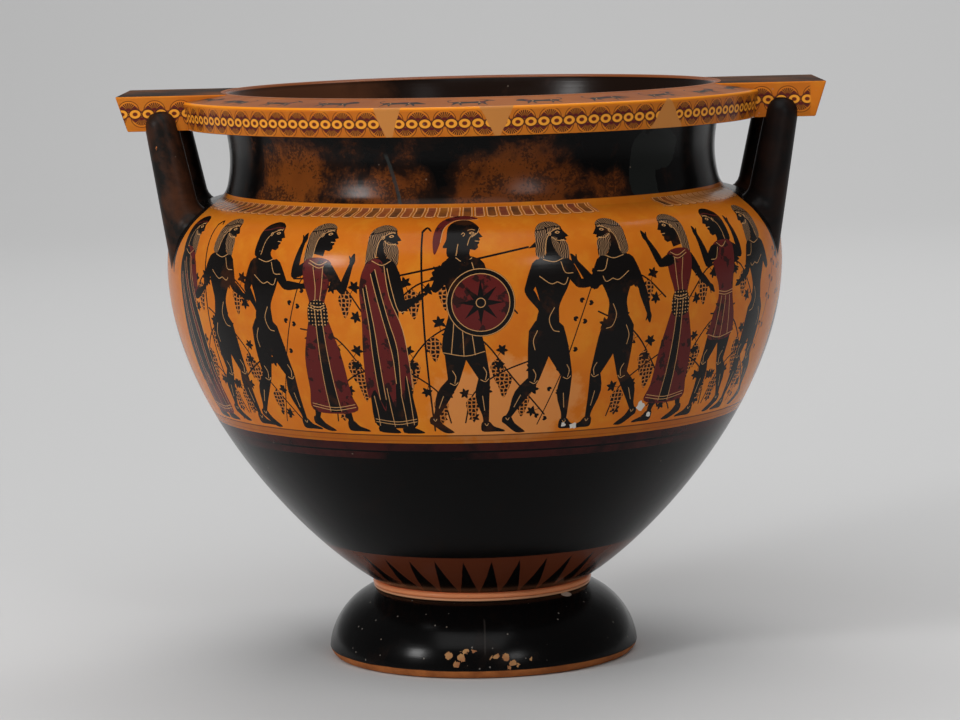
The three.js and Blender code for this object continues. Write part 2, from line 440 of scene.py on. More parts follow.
ARMS = {      # back elbow and wrist, front elbow and wrist, from the middle of the chest
    "swing": ((-.125, .665), (-.165, .545), (.115, .690), (.190, .790)),
    "carry": ((-.120, .690), (-.045, .775), (.100, .680), (.165, .640)),
    "raise": ((-.130, .760), (-.100, .900), (.120, .735), (.165, .865)),
    "reach": ((-.110, .680), (-.060, .600), (.120, .700), (.215, .700)),
    "lift": ((-.120, .745), (-.085, .895), (.125, .680), (.170, .800)),
    "sway": ((-.125, .690), (-.190, .640), (.110, .760), (.170, .875)),
}


def arms_at(pose, sx):
    """The back and front arm of a pose, for a chest leaning by sx."""
    joints = [(x + sx, y) for x, y in ARMS[pose]]
    return joints[:2], joints[2:]


def youth(brush, stride=1.0, lean=0.0, tunic=0, arms="swing", beard=0.0, hair=BLACK, long_hair=.3,
          helmet=False):
    """A striding figure, bare or in a short tunic."""
    front_knee, back_knee = (.075 * stride + .02, .285), (-.045 * stride, .270)
    leg(brush, (-.018, .49), back_knee, (-.150 * stride, .078), rise=.030 * stride)
    leg(brush, (.022, .49), front_knee, (.100 * stride, .050))
    torso(brush, lean)
    sx = lean + .01
    back, front = arms_at(arms, sx)
    arm(brush, (-.062 + sx, .785), *back)
    head(brush, sx + .012, .935, beard=beard, hair=hair, long_hair=long_hair, helmet=helmet,
         tilt=-lean * .6)
    if tunic:
        brush.blot(tunic, [
            (-.070 + sx, .815), (.000 + sx, .830), (.070 + sx, .812), (.082 + sx, .730),
            (.052 + lean * .4, .600), (.085, .480), (.100, .395), (.020, .375), (-.080, .392),
            (-.085, .470), (-.052 + lean * .4, .600), (-.078 + sx, .730)])
        brush.cuts([(-.088, .405), (.015, .388), (.100, .408)],
                   [(-.052 + lean * .4, .592), (.0 + lean * .4, .584), (.054 + lean * .4, .592)],
                   [(-.052 + lean * .4, .604), (.0 + lean * .4, .596), (.054 + lean * .4, .604)],
                   [(-.030, .580), (-.040, .480), (-.050, .395)],
                   [(.000, .580), (.004, .480), (.006, .385)],
                   [(.030, .580), (.045, .480), (.056, .392)],
                   [(-.030 + sx, .822), (.006 + sx, .800), (.042 + sx, .820)])
    else:
        brush.cuts([(-.060 + sx, .740), (-.010 + sx, .705), (.020 + sx, .712)],
                   [(.020 + sx, .712), (.055 + sx, .700), (.074 + sx, .742)],
                   [(.030 + lean * .3, .600), (.012, .550), (.030, .500), (.060, .490)],
                   [(-.040, .500), (-.058, .455), (-.050, .410)],
                   [(-.040 + sx, .812), (.010 + sx, .800), (.050 + sx, .814)])
    arm(brush, (.066 + sx, .785), *front)
    brush.cut([(.040 + sx, .800), (.058 + sx, .752), (.094 + sx, .748)])


def robed(brush, cloak=RED, dress=BLACK, staff=True, beard=0.0, hair=BLACK, long_hair=.6, lean=0.0,
          reach=0.0):
    """A draped figure walking slowly, one arm forward under a cloak of wide folds."""
    sx = lean
    brush.lay(BLACK,
        smooth([(.050, .052), (.040, .008), (.120, .004), (.150, .010), (.100, .036)], True, 3))
    brush.lay(BLACK,
        smooth([(-.070, .060), (-.090, .014), (-.010, .004), (.026, .010), (-.02, .044)], True, 3))
    head(brush, sx + .010, .935, beard=beard, hair=hair, long_hair=long_hair)
    brush.blot(dress, [
        (-.072 + sx, .805), (.0 + sx, .838), (.072 + sx, .805), (.088 + sx, .700), (.078, .560),
        (.100, .400), (.112, .200), (.118, .050), (.020, .032), (-.095, .046), (-.098, .200),
        (-.090, .400), (-.078, .560), (-.085 + sx, .700)])
    brush.blot(cloak, [
        (-.078 + sx, .790), (-.030 + sx, .832), (.016 + sx, .800), (.040, .660), (.092, .520),
        (.112, .360), (.116, .240), (.086, .300), (.070, .180), (.040, .270), (.020, .140),
        (-.012, .250), (-.034, .120), (-.070, .230), (-.110, .190), (-.104, .400), (-.094, .560),
        (-.100 + sx, .700)])
    fold = BLACK if cloak == RED else RED
    brush.lay(fold, [(-.046, .765), (-.026, .785), (.030, .560), (.062, .420), (.058, .210),
                     (.040, .262), (.036, .400), (.004, .560)])
    brush.lay(fold, [(-.082, .700), (-.068, .716), (-.040, .540), (-.030, .400), (-.022, .180),
                     (-.034, .130), (-.052, .180), (-.058, .400), (-.062, .540)])
    brush.cuts([(.016 + sx, .800), (.040, .660), (.092, .520), (.112, .360), (.116, .240)],
               [(-.026, .785), (.030, .560), (.062, .420), (.058, .210)],
               [(-.046, .765), (.004, .560), (.036, .400), (.040, .262)],
               [(-.068, .716), (-.040, .540), (-.030, .400), (-.022, .180)],
               [(-.082, .700), (-.062, .540), (-.058, .400), (-.052, .180)],
               [(.092, .300), (.098, .180), (.100, .050)],
               [(.056, .210), (.062, .120), (.064, .044)],
               [(-.010, .240), (-.004, .120), (.000, .040)],
               [(-.080, .200), (-.076, .120), (-.078, .044)],
               [(-.096, .066), (.015, .052), (.118, .068)],
               [(-.096, .080), (.015, .066), (.118, .082)],
               [(-.042 + sx, .822), (.006 + sx, .802), (.048 + sx, .822)])
    hand_at = (.165 + reach, .655 + reach * .6)
    arm(brush, (.058 + sx, .765), (.096 + sx, .620), hand_at, paint=dress)
    brush.cut([(.030 + sx, .790), (.050 + sx, .700), (.078, .602), (.110, .600)])
    if staff:
        x = hand_at[0] + .026
        brush.limb(BLACK, [(x + .012, .02, .0042), (x, .50, .0046), (x - .008, .96, .0046)])
        brush.limb(BLACK, [(x - .008, .96, .0060), (x + .012, .985, .006), (x + .030, .965, .004)])


def dancer(brush, dress=RED, arms="lift", hair=HAIR, lean=0.0, step=1.0):
    """A woman in a long belted dress, dancing."""
    sx = lean
    leg(brush, (-.02, .40), (-.040, .240), (-.120 * step, .066), rise=.02, lines=False)
    leg(brush, (.03, .40), (.060, .240), (.075 * step, .050), lines=False)
    back, front = arms_at(arms, sx)
    arm(brush, (-.055 + sx, .780), *back, scale=.86)
    head(brush, sx + .012, .935, hair=hair, long_hair=.7, tilt=-lean)
    brush.blot(dress, [
        (-.066 + sx, .806), (.004 + sx, .824), (.070 + sx, .802), (.066 + sx, .720),
        (.034 + lean * .5, .610), (.064, .500), (.098, .360), (.110, .200), (.126, .120),
        (.000, .098), (-.128, .116), (-.112, .220), (-.100, .370), (-.066, .500),
        (-.040 + lean * .5, .610), (-.068 + sx, .720)])
    trim = BLACK if dress == RED else RED
    brush.lay(trim,
        [(-.014, .598), (.016, .598), (.022, .450), (.034, .108), (-.026, .104), (-.016, .450)])
    brush.blot(DOTTED,
        [(-.038, .630), (.034, .630), (.050, .560), (.030, .520), (-.034, .522), (-.056, .560)])
    brush.cuts([(-.040 + lean * .5, .616), (.0, .606), (.036 + lean * .5, .616)],
               [(-.042 + lean * .5, .604), (.0, .594), (.038 + lean * .5, .604)],
               [(-.016, .595), (-.016, .450), (-.026, .110)],
               [(.016, .595), (.022, .450), (.034, .112)],
               [(-.122, .134), (.000, .116), (.120, .136)],
               [(-.120, .148), (.000, .130), (.118, .150)],
               [(-.040 + sx, .812), (.010 + sx, .792), (.050 + sx, .808)],
               [(-.044 + sx, .800), (.010 + sx, .778), (.054 + sx, .798)],
               [(-.020 + sx, .782), (-.008 + lean * .6, .700), (-.012, .634)],
               [(.030 + sx, .782), (.024 + lean * .6, .700), (.012, .634)])
    arm(brush, (.056 + sx, .775), *front, scale=.86)


def warrior(brush, shield=RED, stride=1.0):
    """A helmeted spearman behind a round shield."""
    youth(brush, stride=stride, tunic=RED if shield == BLACK else BLACK, arms="carry", helmet=True)
    turn = np.linspace(0, 2 * math.pi, 41)[:-1]
    ring = np.column_stack([np.cos(turn), np.sin(turn)])
    at = np.array([.085, .625])
    brush.lay(BLACK, ring * .150 + at)
    brush.lay(shield, ring * .124 + at)
    for r in (.147, .126):
        circle = ring * r + at
        brush.cut(np.vstack([circle, circle[:1]]), steps=1)
    star = [(math.cos(a) * r, math.sin(a) * r) for i in range(8)
            for a, r in ((i * math.pi / 4, .100), ((i + .5) * math.pi / 4, .034))]
    brush.lay(BLACK if shield == RED else RED, np.array(star) + at)
    brush.cut(np.vstack([ring * .020 + at, ring[:1] * .020 + at]), steps=1)
    brush.limb(BLACK, [(-.30, .74, .0042), (.0, .80, .0046), (.30, .86, .0046)])
    brush.lay(BLACK, [(.30, .853), (.335, .883), (.385, .880), (.340, .858)])


def lyre_player(brush):
    robed(brush, cloak=BLACK, dress=RED, staff=False, hair=HAIR, long_hair=.8)
    brush.limb(BLACK, [(.120, .60, .010), (.110, .70, .007), (.135, .80, .005), (.120, .86, .005)])
    brush.limb(BLACK, [(.205, .60, .010), (.225, .70, .007), (.205, .80, .005), (.222, .86, .005)])
    brush.limb(BLACK, [(.108, .835, .005), (.236, .835, .005)])
    brush.blot(BLACK,
        [(.110, .610), (.165, .630), (.215, .610), (.205, .560), (.165, .535), (.122, .560)])
    for x in (.140, .154, .168, .182):
        brush.limb(BLACK, [(x, .60, .0012), (x + (x - .16) * .3, .835, .0012)])
    brush.cut([(.118, .600), (.165, .616), (.208, .600)])


def hoofed(brush, hip, knee, ankle, thigh, shin):
    """One leg of a horse, with its hoof."""
    brush.limb(BLACK, [(*hip, thigh), (*knee, shin), (*ankle, .013)])
    brush.limb(BLACK, [(*ankle, .013), (ankle[0] + .03, ankle[1] - .042, .013)])


def rider(brush, coat=BLACK, mounted=True):
    """A horse at a walk, with or without its rider."""
    mane = HAIR if coat == BLACK else BLACK
    hoofed(brush, (-.24, .40), (-.235, .235), (-.285, .060), .060, .024)
    hoofed(brush, (.165, .40), (.205, .230), (.165, .055), .060, .024)
    brush.blot(BLACK, [
        (-.335, .520), (-.300, .600), (-.200, .610), (-.050, .580), (.100, .590), (.190, .640),
        (.240, .760), (.275, .870), (.320, .925), (.345, .960), (.358, .915), (.420, .850),
        (.490, .770),
        (.485, .735), (.440, .735), (.385, .785), (.330, .780), (.300, .700), (.270, .560),
        (.230, .450),
        (.130, .385), (-.020, .375), (-.150, .385), (-.230, .330), (-.320, .390)])
    hoofed(brush, (-.27, .46), (-.300, .250), (-.215, .060), .070, .026)
    hoofed(brush, (.195, .44), (.270, .285), (.250, .120), .070, .026)
    brush.blot(mane,
        [(.180, .640), (.225, .770), (.265, .880), (.315, .950), (.335, .925), (.290, .850),
                      (.262, .740), (.215, .640)])
    brush.blot(HAIR, [(-.320, .560), (-.365, .520), (-.395, .380), (-.420, .180), (-.385, .120),
                      (-.360, .240), (-.345, .400), (-.325, .480)])
    brush.cuts([(.195, .640), (.235, .770), (.285, .880), (.325, .930)],
               [(.385, .870), (.400, .820), (.370, .785)],
               [(.405, .852), (.416, .800), (.395, .775)],
               [(.100, .580), (.130, .480), (.200, .400)],
               [(-.190, .600), (-.215, .500), (-.180, .400)],
               [(.465, .750), (.480, .760)], [(.355, .900), (.365, .890), (.375, .893)])
    brush.lay(RED,
        smooth([(.230, .560), (.262, .660), (.296, .780), (.282, .785), (.246, .670), (.212, .570)],
        True, 3))
    if not mounted:
        return
    brush.limb(RED,
        [(-.050, .590, .062), (-.045, .700, .056), (-.035, .790, .066), (-.030, .815, .03)])
    brush.limb(BLACK, [(-.030, .600, .045), (.060, .520, .040), (.075, .400, .024)])
    brush.limb(BLACK, [(.075, .400, .024), (.055, .310, .028), (.040, .235, .013)])
    brush.limb(BLACK, [(.040, .235, .013), (.100, .215, .011)])
    head(brush, -.018, .915, long_hair=.5)
    arm(brush, (.000, .775), (.080, .690), (.175, .730), scale=.9)
    brush.cuts([(-.085, .640), (-.045, .628), (.005, .640)],
        [(-.060, .800), (-.03, .785), (.0, .800)],
               [(.195, .735), (.300, .770), (.420, .765)])


def leaf(brush, x, y, turn, size, lobes=5):
    """A lobed leaf."""
    ring = []
    for i in range(lobes * 4):
        a = turn + (i / (lobes * 4) - .5) * 1.72 * math.pi
        share = 1.0 if i % 4 == 2 else .52 if i % 4 == 0 else .74
        ring.append((x + math.cos(a) * size * share, y + math.sin(a) * size * share))
    brush.lay(BLACK, ring)


def vine(brush, stem, rng, fruit=3, leaves=7, thick=.0036):
    """A stem with leaves to both sides and hanging clusters."""
    line = smooth(stem, steps=6)
    brush.limb(BLACK, [(x, y, thick) for x, y in line[::2]], steps=2)
    along = np.gradient(line, axis=0)
    for i in range(leaves):
        k = int((i + .5) / leaves * (len(line) - 1))
        side = 1 if i % 2 else -1
        a = math.atan2(along[k][1], along[k][0]) + side * 1.2
        x, y = line[k][0] + math.cos(a) * .026, line[k][1] + math.sin(a) * .026
        brush.limb(BLACK, [(*line[k], .0015), (x, y, .0015)])
        leaf(brush, x + math.cos(a) * .012, y + math.sin(a) * .012, a, .026 + rng.random() * .006)
    for i in range(fruit):
        k = int((i + .8) / (fruit + .6) * (len(line) - 1))
        x, y = line[k][0] + (rng.random() - .5) * .01, line[k][1] - .012
        brush.limb(BLACK, [(*line[k], .0015), (x, y, .0015)])
        wide, tall = .029 + rng.random() * .005, .105 + rng.random() * .030
        brush.blot(CLUSTER, [
            (x, y + .004), (x + wide, y - tall * .22), (x + wide * .8, y - tall * .55),
            (x + wide * .1, y - tall), (x - wide * .75, y - tall * .55),
            (x - wide, y - tall * .20)])


def sprig(brush, stem, count=9, size=.013):
    """A thin branch with heart-shaped leaves in pairs."""
    line = smooth(stem, steps=8)
    brush.limb(BLACK, [(x, y, .0026) for x, y in line[::2]], steps=2)
    along = np.gradient(line, axis=0)
    for i in range(count):
        k = int((i + .6) / (count + .2) * (len(line) - 1))
        for side in (1, -1):
            a = math.atan2(along[k][1], along[k][0]) + side * 1.35
            x, y = line[k] + np.array([math.cos(a), math.sin(a)]) * size * 1.7
            ux, uy = math.cos(a), math.sin(a)
            heart = [(-1.0, 0), (-.5, .75), (.2, .95), (.75, .55), (.35, .0), (.75, -.55),
                (.2, -.95), (-.5, -.75)]
            brush.lay(BLACK,
                [(x - (px * ux - py * uy) * size, y - (px * uy + py * ux) * size) for px,
                py in heart])


def handle_patch():
    """The black patch round a handle's roots: degrees from its middle, and mm up the section."""
    half = [(5.5, 490), (5.6, 484), (9, 480), (14, 474), (18.6, 462), (20.6, 452), (21.2, 440),
        (20.6, 428),
            (18.8, 414), (17.2, 400), (16.4, 388), (15.4, 400), (14.4, 409), (11.5, 420), (8, 427),
            (4, 431), (0, 432.5)]
    half = smooth(half, steps=3)
    return np.vstack([half, (half * (-1, 1))[::-1][1:]])


CAST = (      # round the pot from the right-hand handle: room in mm, who, facing, how they're drawn
    (226, "rider", 1, dict(mounted=False, size=.80)),
    (64, "lyre_player", 1, dict()),
    (58, "dancer", 1, dict(dress=BLACK, arms="sway")),
    (60, "robed", 1, dict(cloak=BLACK, dress=RED, beard=.9)),
    (62, "youth", 1, dict(stride=1.1, arms="raise", hair=HAIR)),
    (86, "warrior", 1, dict(shield=BLACK)),
    (182, "rider", 1, dict()),
    (70, "youth", 1, dict(stride=.9, tunic=RED, arms="reach")),
    (58, "dancer", -1, dict(dress=RED, arms="lift")),
    (60, "robed", -1, dict(cloak=RED, dress=BLACK, beard=.9, hair=HAIR)),
    (222, "rider", -1, dict(mounted=False, size=.80)),
    (66, "robed", 1, dict(cloak=BLACK, dress=RED, beard=.9)),
    (58, "youth", 1, dict(stride=.8, arms="carry", hair=HAIR, beard=.9)),
    (64, "youth", 1, dict(stride=1.1, lean=.01, arms="reach")),
    (64, "dancer", 1, dict(dress=RED, arms="lift")),
    (62, "robed", 1, dict(cloak=RED, dress=BLACK, beard=.9, hair=HAIR, long_hair=.9)),
    (84, "warrior", 1, dict(shield=RED)),
    (70, "youth", 1, dict(stride=1.15, lean=.02, arms="reach", beard=.9, hair=HAIR)),
    (70, "youth", -1, dict(stride=1.0, arms="swing", beard=.9, hair=HAIR)),
    (66, "dancer", -1, dict(dress=RED, arms="sway")),
    (60, "youth", -1, dict(stride=.9, tunic=RED, arms="raise")),
    (60, "youth", -1, dict(stride=.8, arms="carry", hair=HAIR, beard=.9)),
)


def picture_shapes(section, shape):
    """The figured frieze's shapes, in the order they were laid on: (paint, points), with points as
    (distance round the belly, length along the section)."""
    rng = np.random.default_rng(7)
    drawn = {draw.__name__: draw for draw in (rider, lyre_player, dancer, robed, youth, warrior)}
    shapes = []
    base = section.start["bowl"]
    girth = 2 * math.pi * shape.belly
    foot, tall = base + 242.5 * MM, 213 * MM
    room = girth / sum(row[0] for row in CAST)
    x, spots = -CAST[0][0] * room / 2, []
    for row in CAST:
        spots.append(x + row[0] * room / 2)
        x += row[0] * room
    for i, (at, row) in enumerate(zip(spots, CAST)):      # growth behind the figures
        brush = Brush(shapes, at + .030, foot, tall, 1 if i % 2 else -1)
        if i % 4 == 1:
            sprig(brush, [(-.16, .04), (-.06, .30), (.02, .55), (.09, .72), (.16, .70), (.18, .48)],
                12)
        else:
            low = .03 * (i % 3)
            vine(brush, [(-.24, .06 + low), (-.08, .28), (.06, .46), (.24, .56 - low)], rng)
            vine(brush, [(-.10, .60 - low), (.02, .70), (.14, .72), (.26, .66 + low)], rng, 2, 6)
            vine(brush, [(-.20, .40 - low), (-.02, .30), (.10, .20), (.14, .06)], rng, 2, 5)
    for at, (_, who, facing, how) in zip(spots, CAST):
        how = dict(how)
        size = how.pop("size", 1 - .025 * rng.random())
        drawn[who](Brush(shapes, at, foot, tall * size, facing), **how)
    for middle in (0.0, 0.5, 1.0):
        patch = handle_patch()
        shapes.append((BLACK, np.column_stack([
            (middle + patch[:, 0] / 360) * girth, base + patch[:, 1] * MM])))
    for turn, rise, wide in ((.843, 262, 5), (.850, 252, 3.2), (.803, 247, 3.6), (.797, 249, 2.4),
                             (.131, 300, 4), (.402, 251, 4.5)):
        angle = np.linspace(0, 2 * math.pi, 12)[:-1]
        reach = wide * MM * (0.65 + 0.7 * rng.random(11))
        shapes.append((LOSS, np.column_stack([
            turn * girth + np.cos(angle) * reach, base + rise * MM + np.sin(angle) * reach])))
    return shapes


def beast(brush, kind):
    """A generic animal for the brim: 0 a boar, 1 a goat, 2 a lion."""
    brush.blot(BLACK, [
        (-.80, .62), (-.50, .74), (.0, .70), (.40, .78), (.62, .74), (.60, .50), (.40, .36),
        (.0, .40),
        (-.40, .34), (-.74, .40)])
    for x, lean in ((-.68, -.12), (-.50, .10), (.38, -.06), (.54, .14)):
        brush.limb(BLACK, [(x, .46, .10), (x + lean * .4, .24, .05), (x + lean, .03, .035)])
    if kind == 0:
        brush.blot(BLACK,
            [(.46, .74), (.66, .82), (.90, .62), (1.12, .44), (1.10, .36), (.80, .38), (.56, .44)])
        brush.blot(RED, [(-.30, .70), (.10, .84), (.50, .82), (.52, .74), (.0, .70)])
    elif kind == 1:
        brush.limb(BLACK, [(.48, .66, .12), (.68, .84, .08), (.80, .96, .07)])
        brush.blot(BLACK, [(.72, 1.0), (.84, 1.04), (1.08, .88), (1.04, .82), (.80, .88)])
        brush.limb(BLACK, [(.78, 1.0, .03), (.60, 1.14, .03), (.40, 1.08, .02)])
        brush.blot(RED, [(.40, .74), (.54, .78), (.62, .66), (.56, .48), (.44, .50)])
    else:
        brush.blot(BLACK,
            [(.46, .66), (.56, .92), (.78, 1.00), (.96, .92), (1.08, .74), (1.0, .62), (.84, .58),
            (.62, .44)])
        brush.blot(RED, [(.46, .60), (.52, .86), (.68, .92), (.66, .60), (.60, .44)])
    brush.limb(BLACK, [(-.76, .60, .05), (-.98, .70, .03), (-1.02, .96, .03), (-.90, 1.04, .04)])
    brush.cuts([(.40, .74), (.34, .56), (.42, .38)], [(-.52, .70), (-.46, .54), (-.56, .40)],
        half=.018)


def painted_strips(section, shape):
    """The belly's frieze and the brim's row of animals: (low, high, girth, shapes) each."""
    frieze = (section.picture_low, section.end["shoulder"], 2 * math.pi * shape.belly,
              picture_shapes(section, shape))
    low, high = section.start["brim"], section.end["brim"]
    girth = 2 * math.pi * 267 * MM
    beasts = []
    count = 26
    for i in range(count):
        beast(Brush(beasts, (i + .5) / count * girth, low + 6 * MM, 21 * MM, 1 if i % 5 else -1),
            i % 3)
    brim = (low, high, girth, beasts)
    return [(low, high, girth, fitted(shapes, low, high, girth))
            for low, high, girth, shapes in (frieze, brim)]


def fitted(shapes, low, high, girth):
    """Shapes wrapped round a strip whose two ends meet, and kept off its long edges."""
    edges = ((0, 0.0, 1.0), (0, girth, -1.0), (1, low + 0.5 * MM, 1.0), (1, high - 0.5 * MM, -1.0))
    made = []
    for paint, run in shapes:
        for shift in (-girth, 0.0, girth):
            moved = run + (shift, 0.0)
            for axis, edge, sign in edges:
                moved = clip(moved, axis, edge, sign)
            if len(moved) > 2:
                made.append((paint, split_long(moved, 8 * MM)))
    return made


def clip(run, axis, edge, sign):
    """The part of a closed outline on one side of a line."""
    kept = []
    for a, b in zip(run, np.roll(run, -1, axis=0)):
        ahead, behind = (a[axis] - edge) * sign, (b[axis] - edge) * sign
        if ahead >= 0:
            kept.append(a)
        if ahead * behind < 0:
            kept.append(a + (b - a) * (ahead / (ahead - behind)))
    return np.array(kept).reshape(-1, 2)


def split_long(run, longest):
    """A closed outline with its long edges cut shorter."""
    made = []
    for a, b in zip(run, np.roll(run, -1, axis=0)):
        parts = max(1, math.ceil(math.hypot(*(b - a)) / longest))
        made.extend(a + (b - a) * i / parts for i in range(parts))
    return np.array(made)


def inside_shape(x, y, shape):
    """Which points lie inside a closed outline, by its winding number."""
    winding = np.zeros(len(x), int)
    ends = np.roll(shape, -1, axis=0)
    for (ax, ay), (bx, by) in zip(shape, ends):
        side = (bx - ax) * (y - ay) - (by - ay) * (x - ax)
        winding += (ay <= y) & (by > y) & (side > 0)
        winding -= (ay > y) & (by <= y) & (side < 0)
    return winding != 0


def cut_picture(shapes, width, low, high, columns, grain):
    """Triangles of a flat strip, cut along every shape's outline, and the paint of each."""
    step = width / columns
    points, edges = [], []

    def chain(run, closed):
        first = len(points)
        points.extend((float(a), float(b)) for a, b in run)
        last = len(points) - 1
        edges.extend((i, i + 1) for i in range(first, last))
        if closed:
            edges.append((last, first))

    across = np.arange(columns + 1) * step
    rows = max(2, round((high - low) / grain))
    up = np.linspace(low, high, rows + 1)
    border = [(x, low) for x in across] + [(width, y) for y in up[1:-1]]
    border += [(x, high) for x in across[::-1]] + [(0.0, y) for y in up[1:-1][::-1]]
    chain(border, True)
    for i, y in enumerate(up[1:-1]):
        shift = step / 2 if i % 2 else step
        points.extend((x, float(y)) for x in np.arange(shift, width - step / 4, step))
    for _, run in shapes:
        chain(run, True)

    made = delaunay_2d_cdt([Vector(p) for p in points], edges, [], 0, 1e-7)
    verts = np.array([tuple(v) for v in made[0]])
    column = np.round(verts[:, 0] / step) * step
    verts[:, 0] = np.where(np.abs(verts[:, 0] - column) < 1e-6, column, verts[:, 0])
    for row in (low, high):
        verts[np.abs(verts[:, 1] - row) < 1e-6, 1] = row
    faces = np.array([f for f in made[2] if len(f) == 3])
    a, b, c = (verts[faces[:, i]] for i in range(3))
    area = (b[:, 0] - a[:, 0]) * (c[:, 1] - a[:, 1]) - (b[:, 1] - a[:, 1]) * (c[:, 0] - a[:, 0])
    if np.median(area) < 0:
        faces = faces[:, ::-1]
    for axis, edge in ((0, 0.0), (0, width), (1, low), (1, high)):
        faces = faces[~(np.abs(verts[faces][:, :, axis] - edge) < 1e-6).all(1)]
    middle = verts[faces].mean(1)
    paint = np.zeros(len(faces), int)
    for tint, run in shapes:
        run = np.asarray(run, float)
        least, most = run.min(0), run.max(0)
        near = np.flatnonzero(((middle >= least) & (middle <= most)).all(1))
        hit = inside_shape(middle[near, 0], middle[near, 1], run)
        paint[near[hit]] = tint
    return verts, faces, paint


# ---- meshes ------------------------------------------------------------------------------------


def mesh_object(name, verts, faces):
    mesh = bpy.data.meshes.new(name)
    mesh.vertices.add(len(verts))
    mesh.vertices.foreach_set("co", np.asarray(verts, np.float32).ravel())
    mesh.loops.add(faces.size)
    mesh.loops.foreach_set("vertex_index", faces.astype(np.int32).ravel())
    mesh.polygons.add(len(faces))
    mesh.polygons.foreach_set("loop_start", np.arange(0, faces.size, 3, dtype=np.int32))
    mesh.update(calc_edges=True)
    made = bpy.data.objects.new(name, mesh)
    bpy.context.scene.collection.objects.link(made)
    return made


def turned_wall(section, shape):
    """The pot without handles: welded points, triangles, and each corner's turn and length."""
    around = shape.facets
    turn = np.arange(around + 1) / around
    strips = painted_strips(section, shape)
    flats, paints, stretches = [], [], []

    for k, rows in enumerate(section.rows):
        for low, high, _, _ in strips:
            if low <= rows[0] and rows[-1] <= high:
                rows = rows[:0]
                break
            if rows[0] < low < rows[-1]:
                rows = np.concatenate([rows[rows < low - 4 * MM], [low]])
        if not len(rows):
            continue
        t, s = np.meshgrid(turn, rows)
        p = np.stack([t, s], -1)
        a, b, c, d = p[:-1, :-1], p[:-1, 1:], p[1:, 1:], p[1:, :-1]
        flats.append(np.concatenate([
            np.stack([a, b, c], 2).reshape(-1, 3, 2), np.stack([a, c, d], 2).reshape(-1, 3, 2)]))
        paints.append(np.zeros(len(flats[-1]), int))
        stretches.append(np.full(len(flats[-1]), k))

    for low, high, girth, shapes in strips:
        verts, faces, paint = cut_picture(shapes, girth, low, high, around, 8 * MM)
        flat = verts[faces] / np.array([girth, 1.0])
        flats.append(flat)
        paints.append(paint)
        stretches.append(section.stretch_at(flat[:, :, 1].mean(1)))

    flat, stretch = np.concatenate(flats), np.concatenate(stretches)
    r, z = section.place_all(flat[:, :, 1])
    angle = 2 * math.pi * flat[:, :, 0]
    place = np.stack([r * np.cos(angle), r * np.sin(angle), z], -1)
    keys = np.round(place.reshape(-1, 3) / 2e-6).astype(np.int64)
    _, first, index = np.unique(keys, axis=0, return_index=True, return_inverse=True)
    verts = place.reshape(-1, 3)[first]
    faces = index.reshape(-1, 3)
    whole = (faces[:, 0] != faces[:, 1]) & (faces[:, 1] != faces[:, 2]) & (faces[:, 2] != faces[:,
        0])
    return verts, faces[whole], flat[whole], np.concatenate(paints)[whole], stretch[whole]


def weld(mesh, reach):
    """Joins points that nearly meet, and takes out slivers laid on a whole edge."""
    bm = bmesh.new()
    bm.from_mesh(mesh)
    bmesh.ops.remove_doubles(bm, verts=bm.verts, dist=reach)
    doubled = [e for e in bm.edges if len(e.link_faces) > 2]
    slivers = {min(e.link_faces, key=lambda f: f.calc_area()) for e in doubled}
    bmesh.ops.delete(bm, geom=list(slivers), context="FACES")
    bm.to_mesh(mesh)
    bm.free()
    if any(count != 2 for count in edge_faces(mesh)):
        raise RuntimeError(mesh.name + " is not a closed skin")


def edge_faces(mesh):
    """How many faces meet at each edge."""
    edge = np.zeros(len(mesh.loops), np.int32)
    mesh.loops.foreach_get("edge_index", edge)
    return np.bincount(edge, minlength=len(mesh.edges))


def name_faces(made, **values):
    """Whole numbers kept on the faces, by name."""
    for name, numbers in values.items():
        layer = made.data.attributes.new(name, "FLOAT", "FACE")
        layer.data.foreach_set("value", np.asarray(numbers, np.float32))


def read_faces(mesh, name):
    numbers = np.zeros(len(mesh.polygons), np.float32)
    mesh.attributes[name].data.foreach_get("value", numbers)
    return np.round(numbers).astype(int)


def pot_body(section, shape):
    verts, faces, flat, paint, stretch = turned_wall(section, shape)
    made = mesh_object("pot", verts, faces)
    unroll = made.data.uv_layers.new(name="unroll")
    unroll.uv.foreach_set("vector", flat.astype(np.float32).ravel())
    name_faces(made, paint=paint, stretch=stretch)
    weld(made.data, 4e-6)
    return made


# ---- handles -----------------------------------------------------------------------------------

PLATE_FACE, PLATE_TOP, COLUMN = 100, 101, 102      # stretch numbers of the handles' faces


def plate_outline(inner, steps=10):
    """One plate from above: an arc at the lip, and a square outer end."""
    half = 75 * MM
    sweep = math.asin(half / inner)
    arc = [(inner * math.cos(a), inner * math.sin(a)) for a in np.linspace(sweep, -sweep, steps)]
    return arc, half


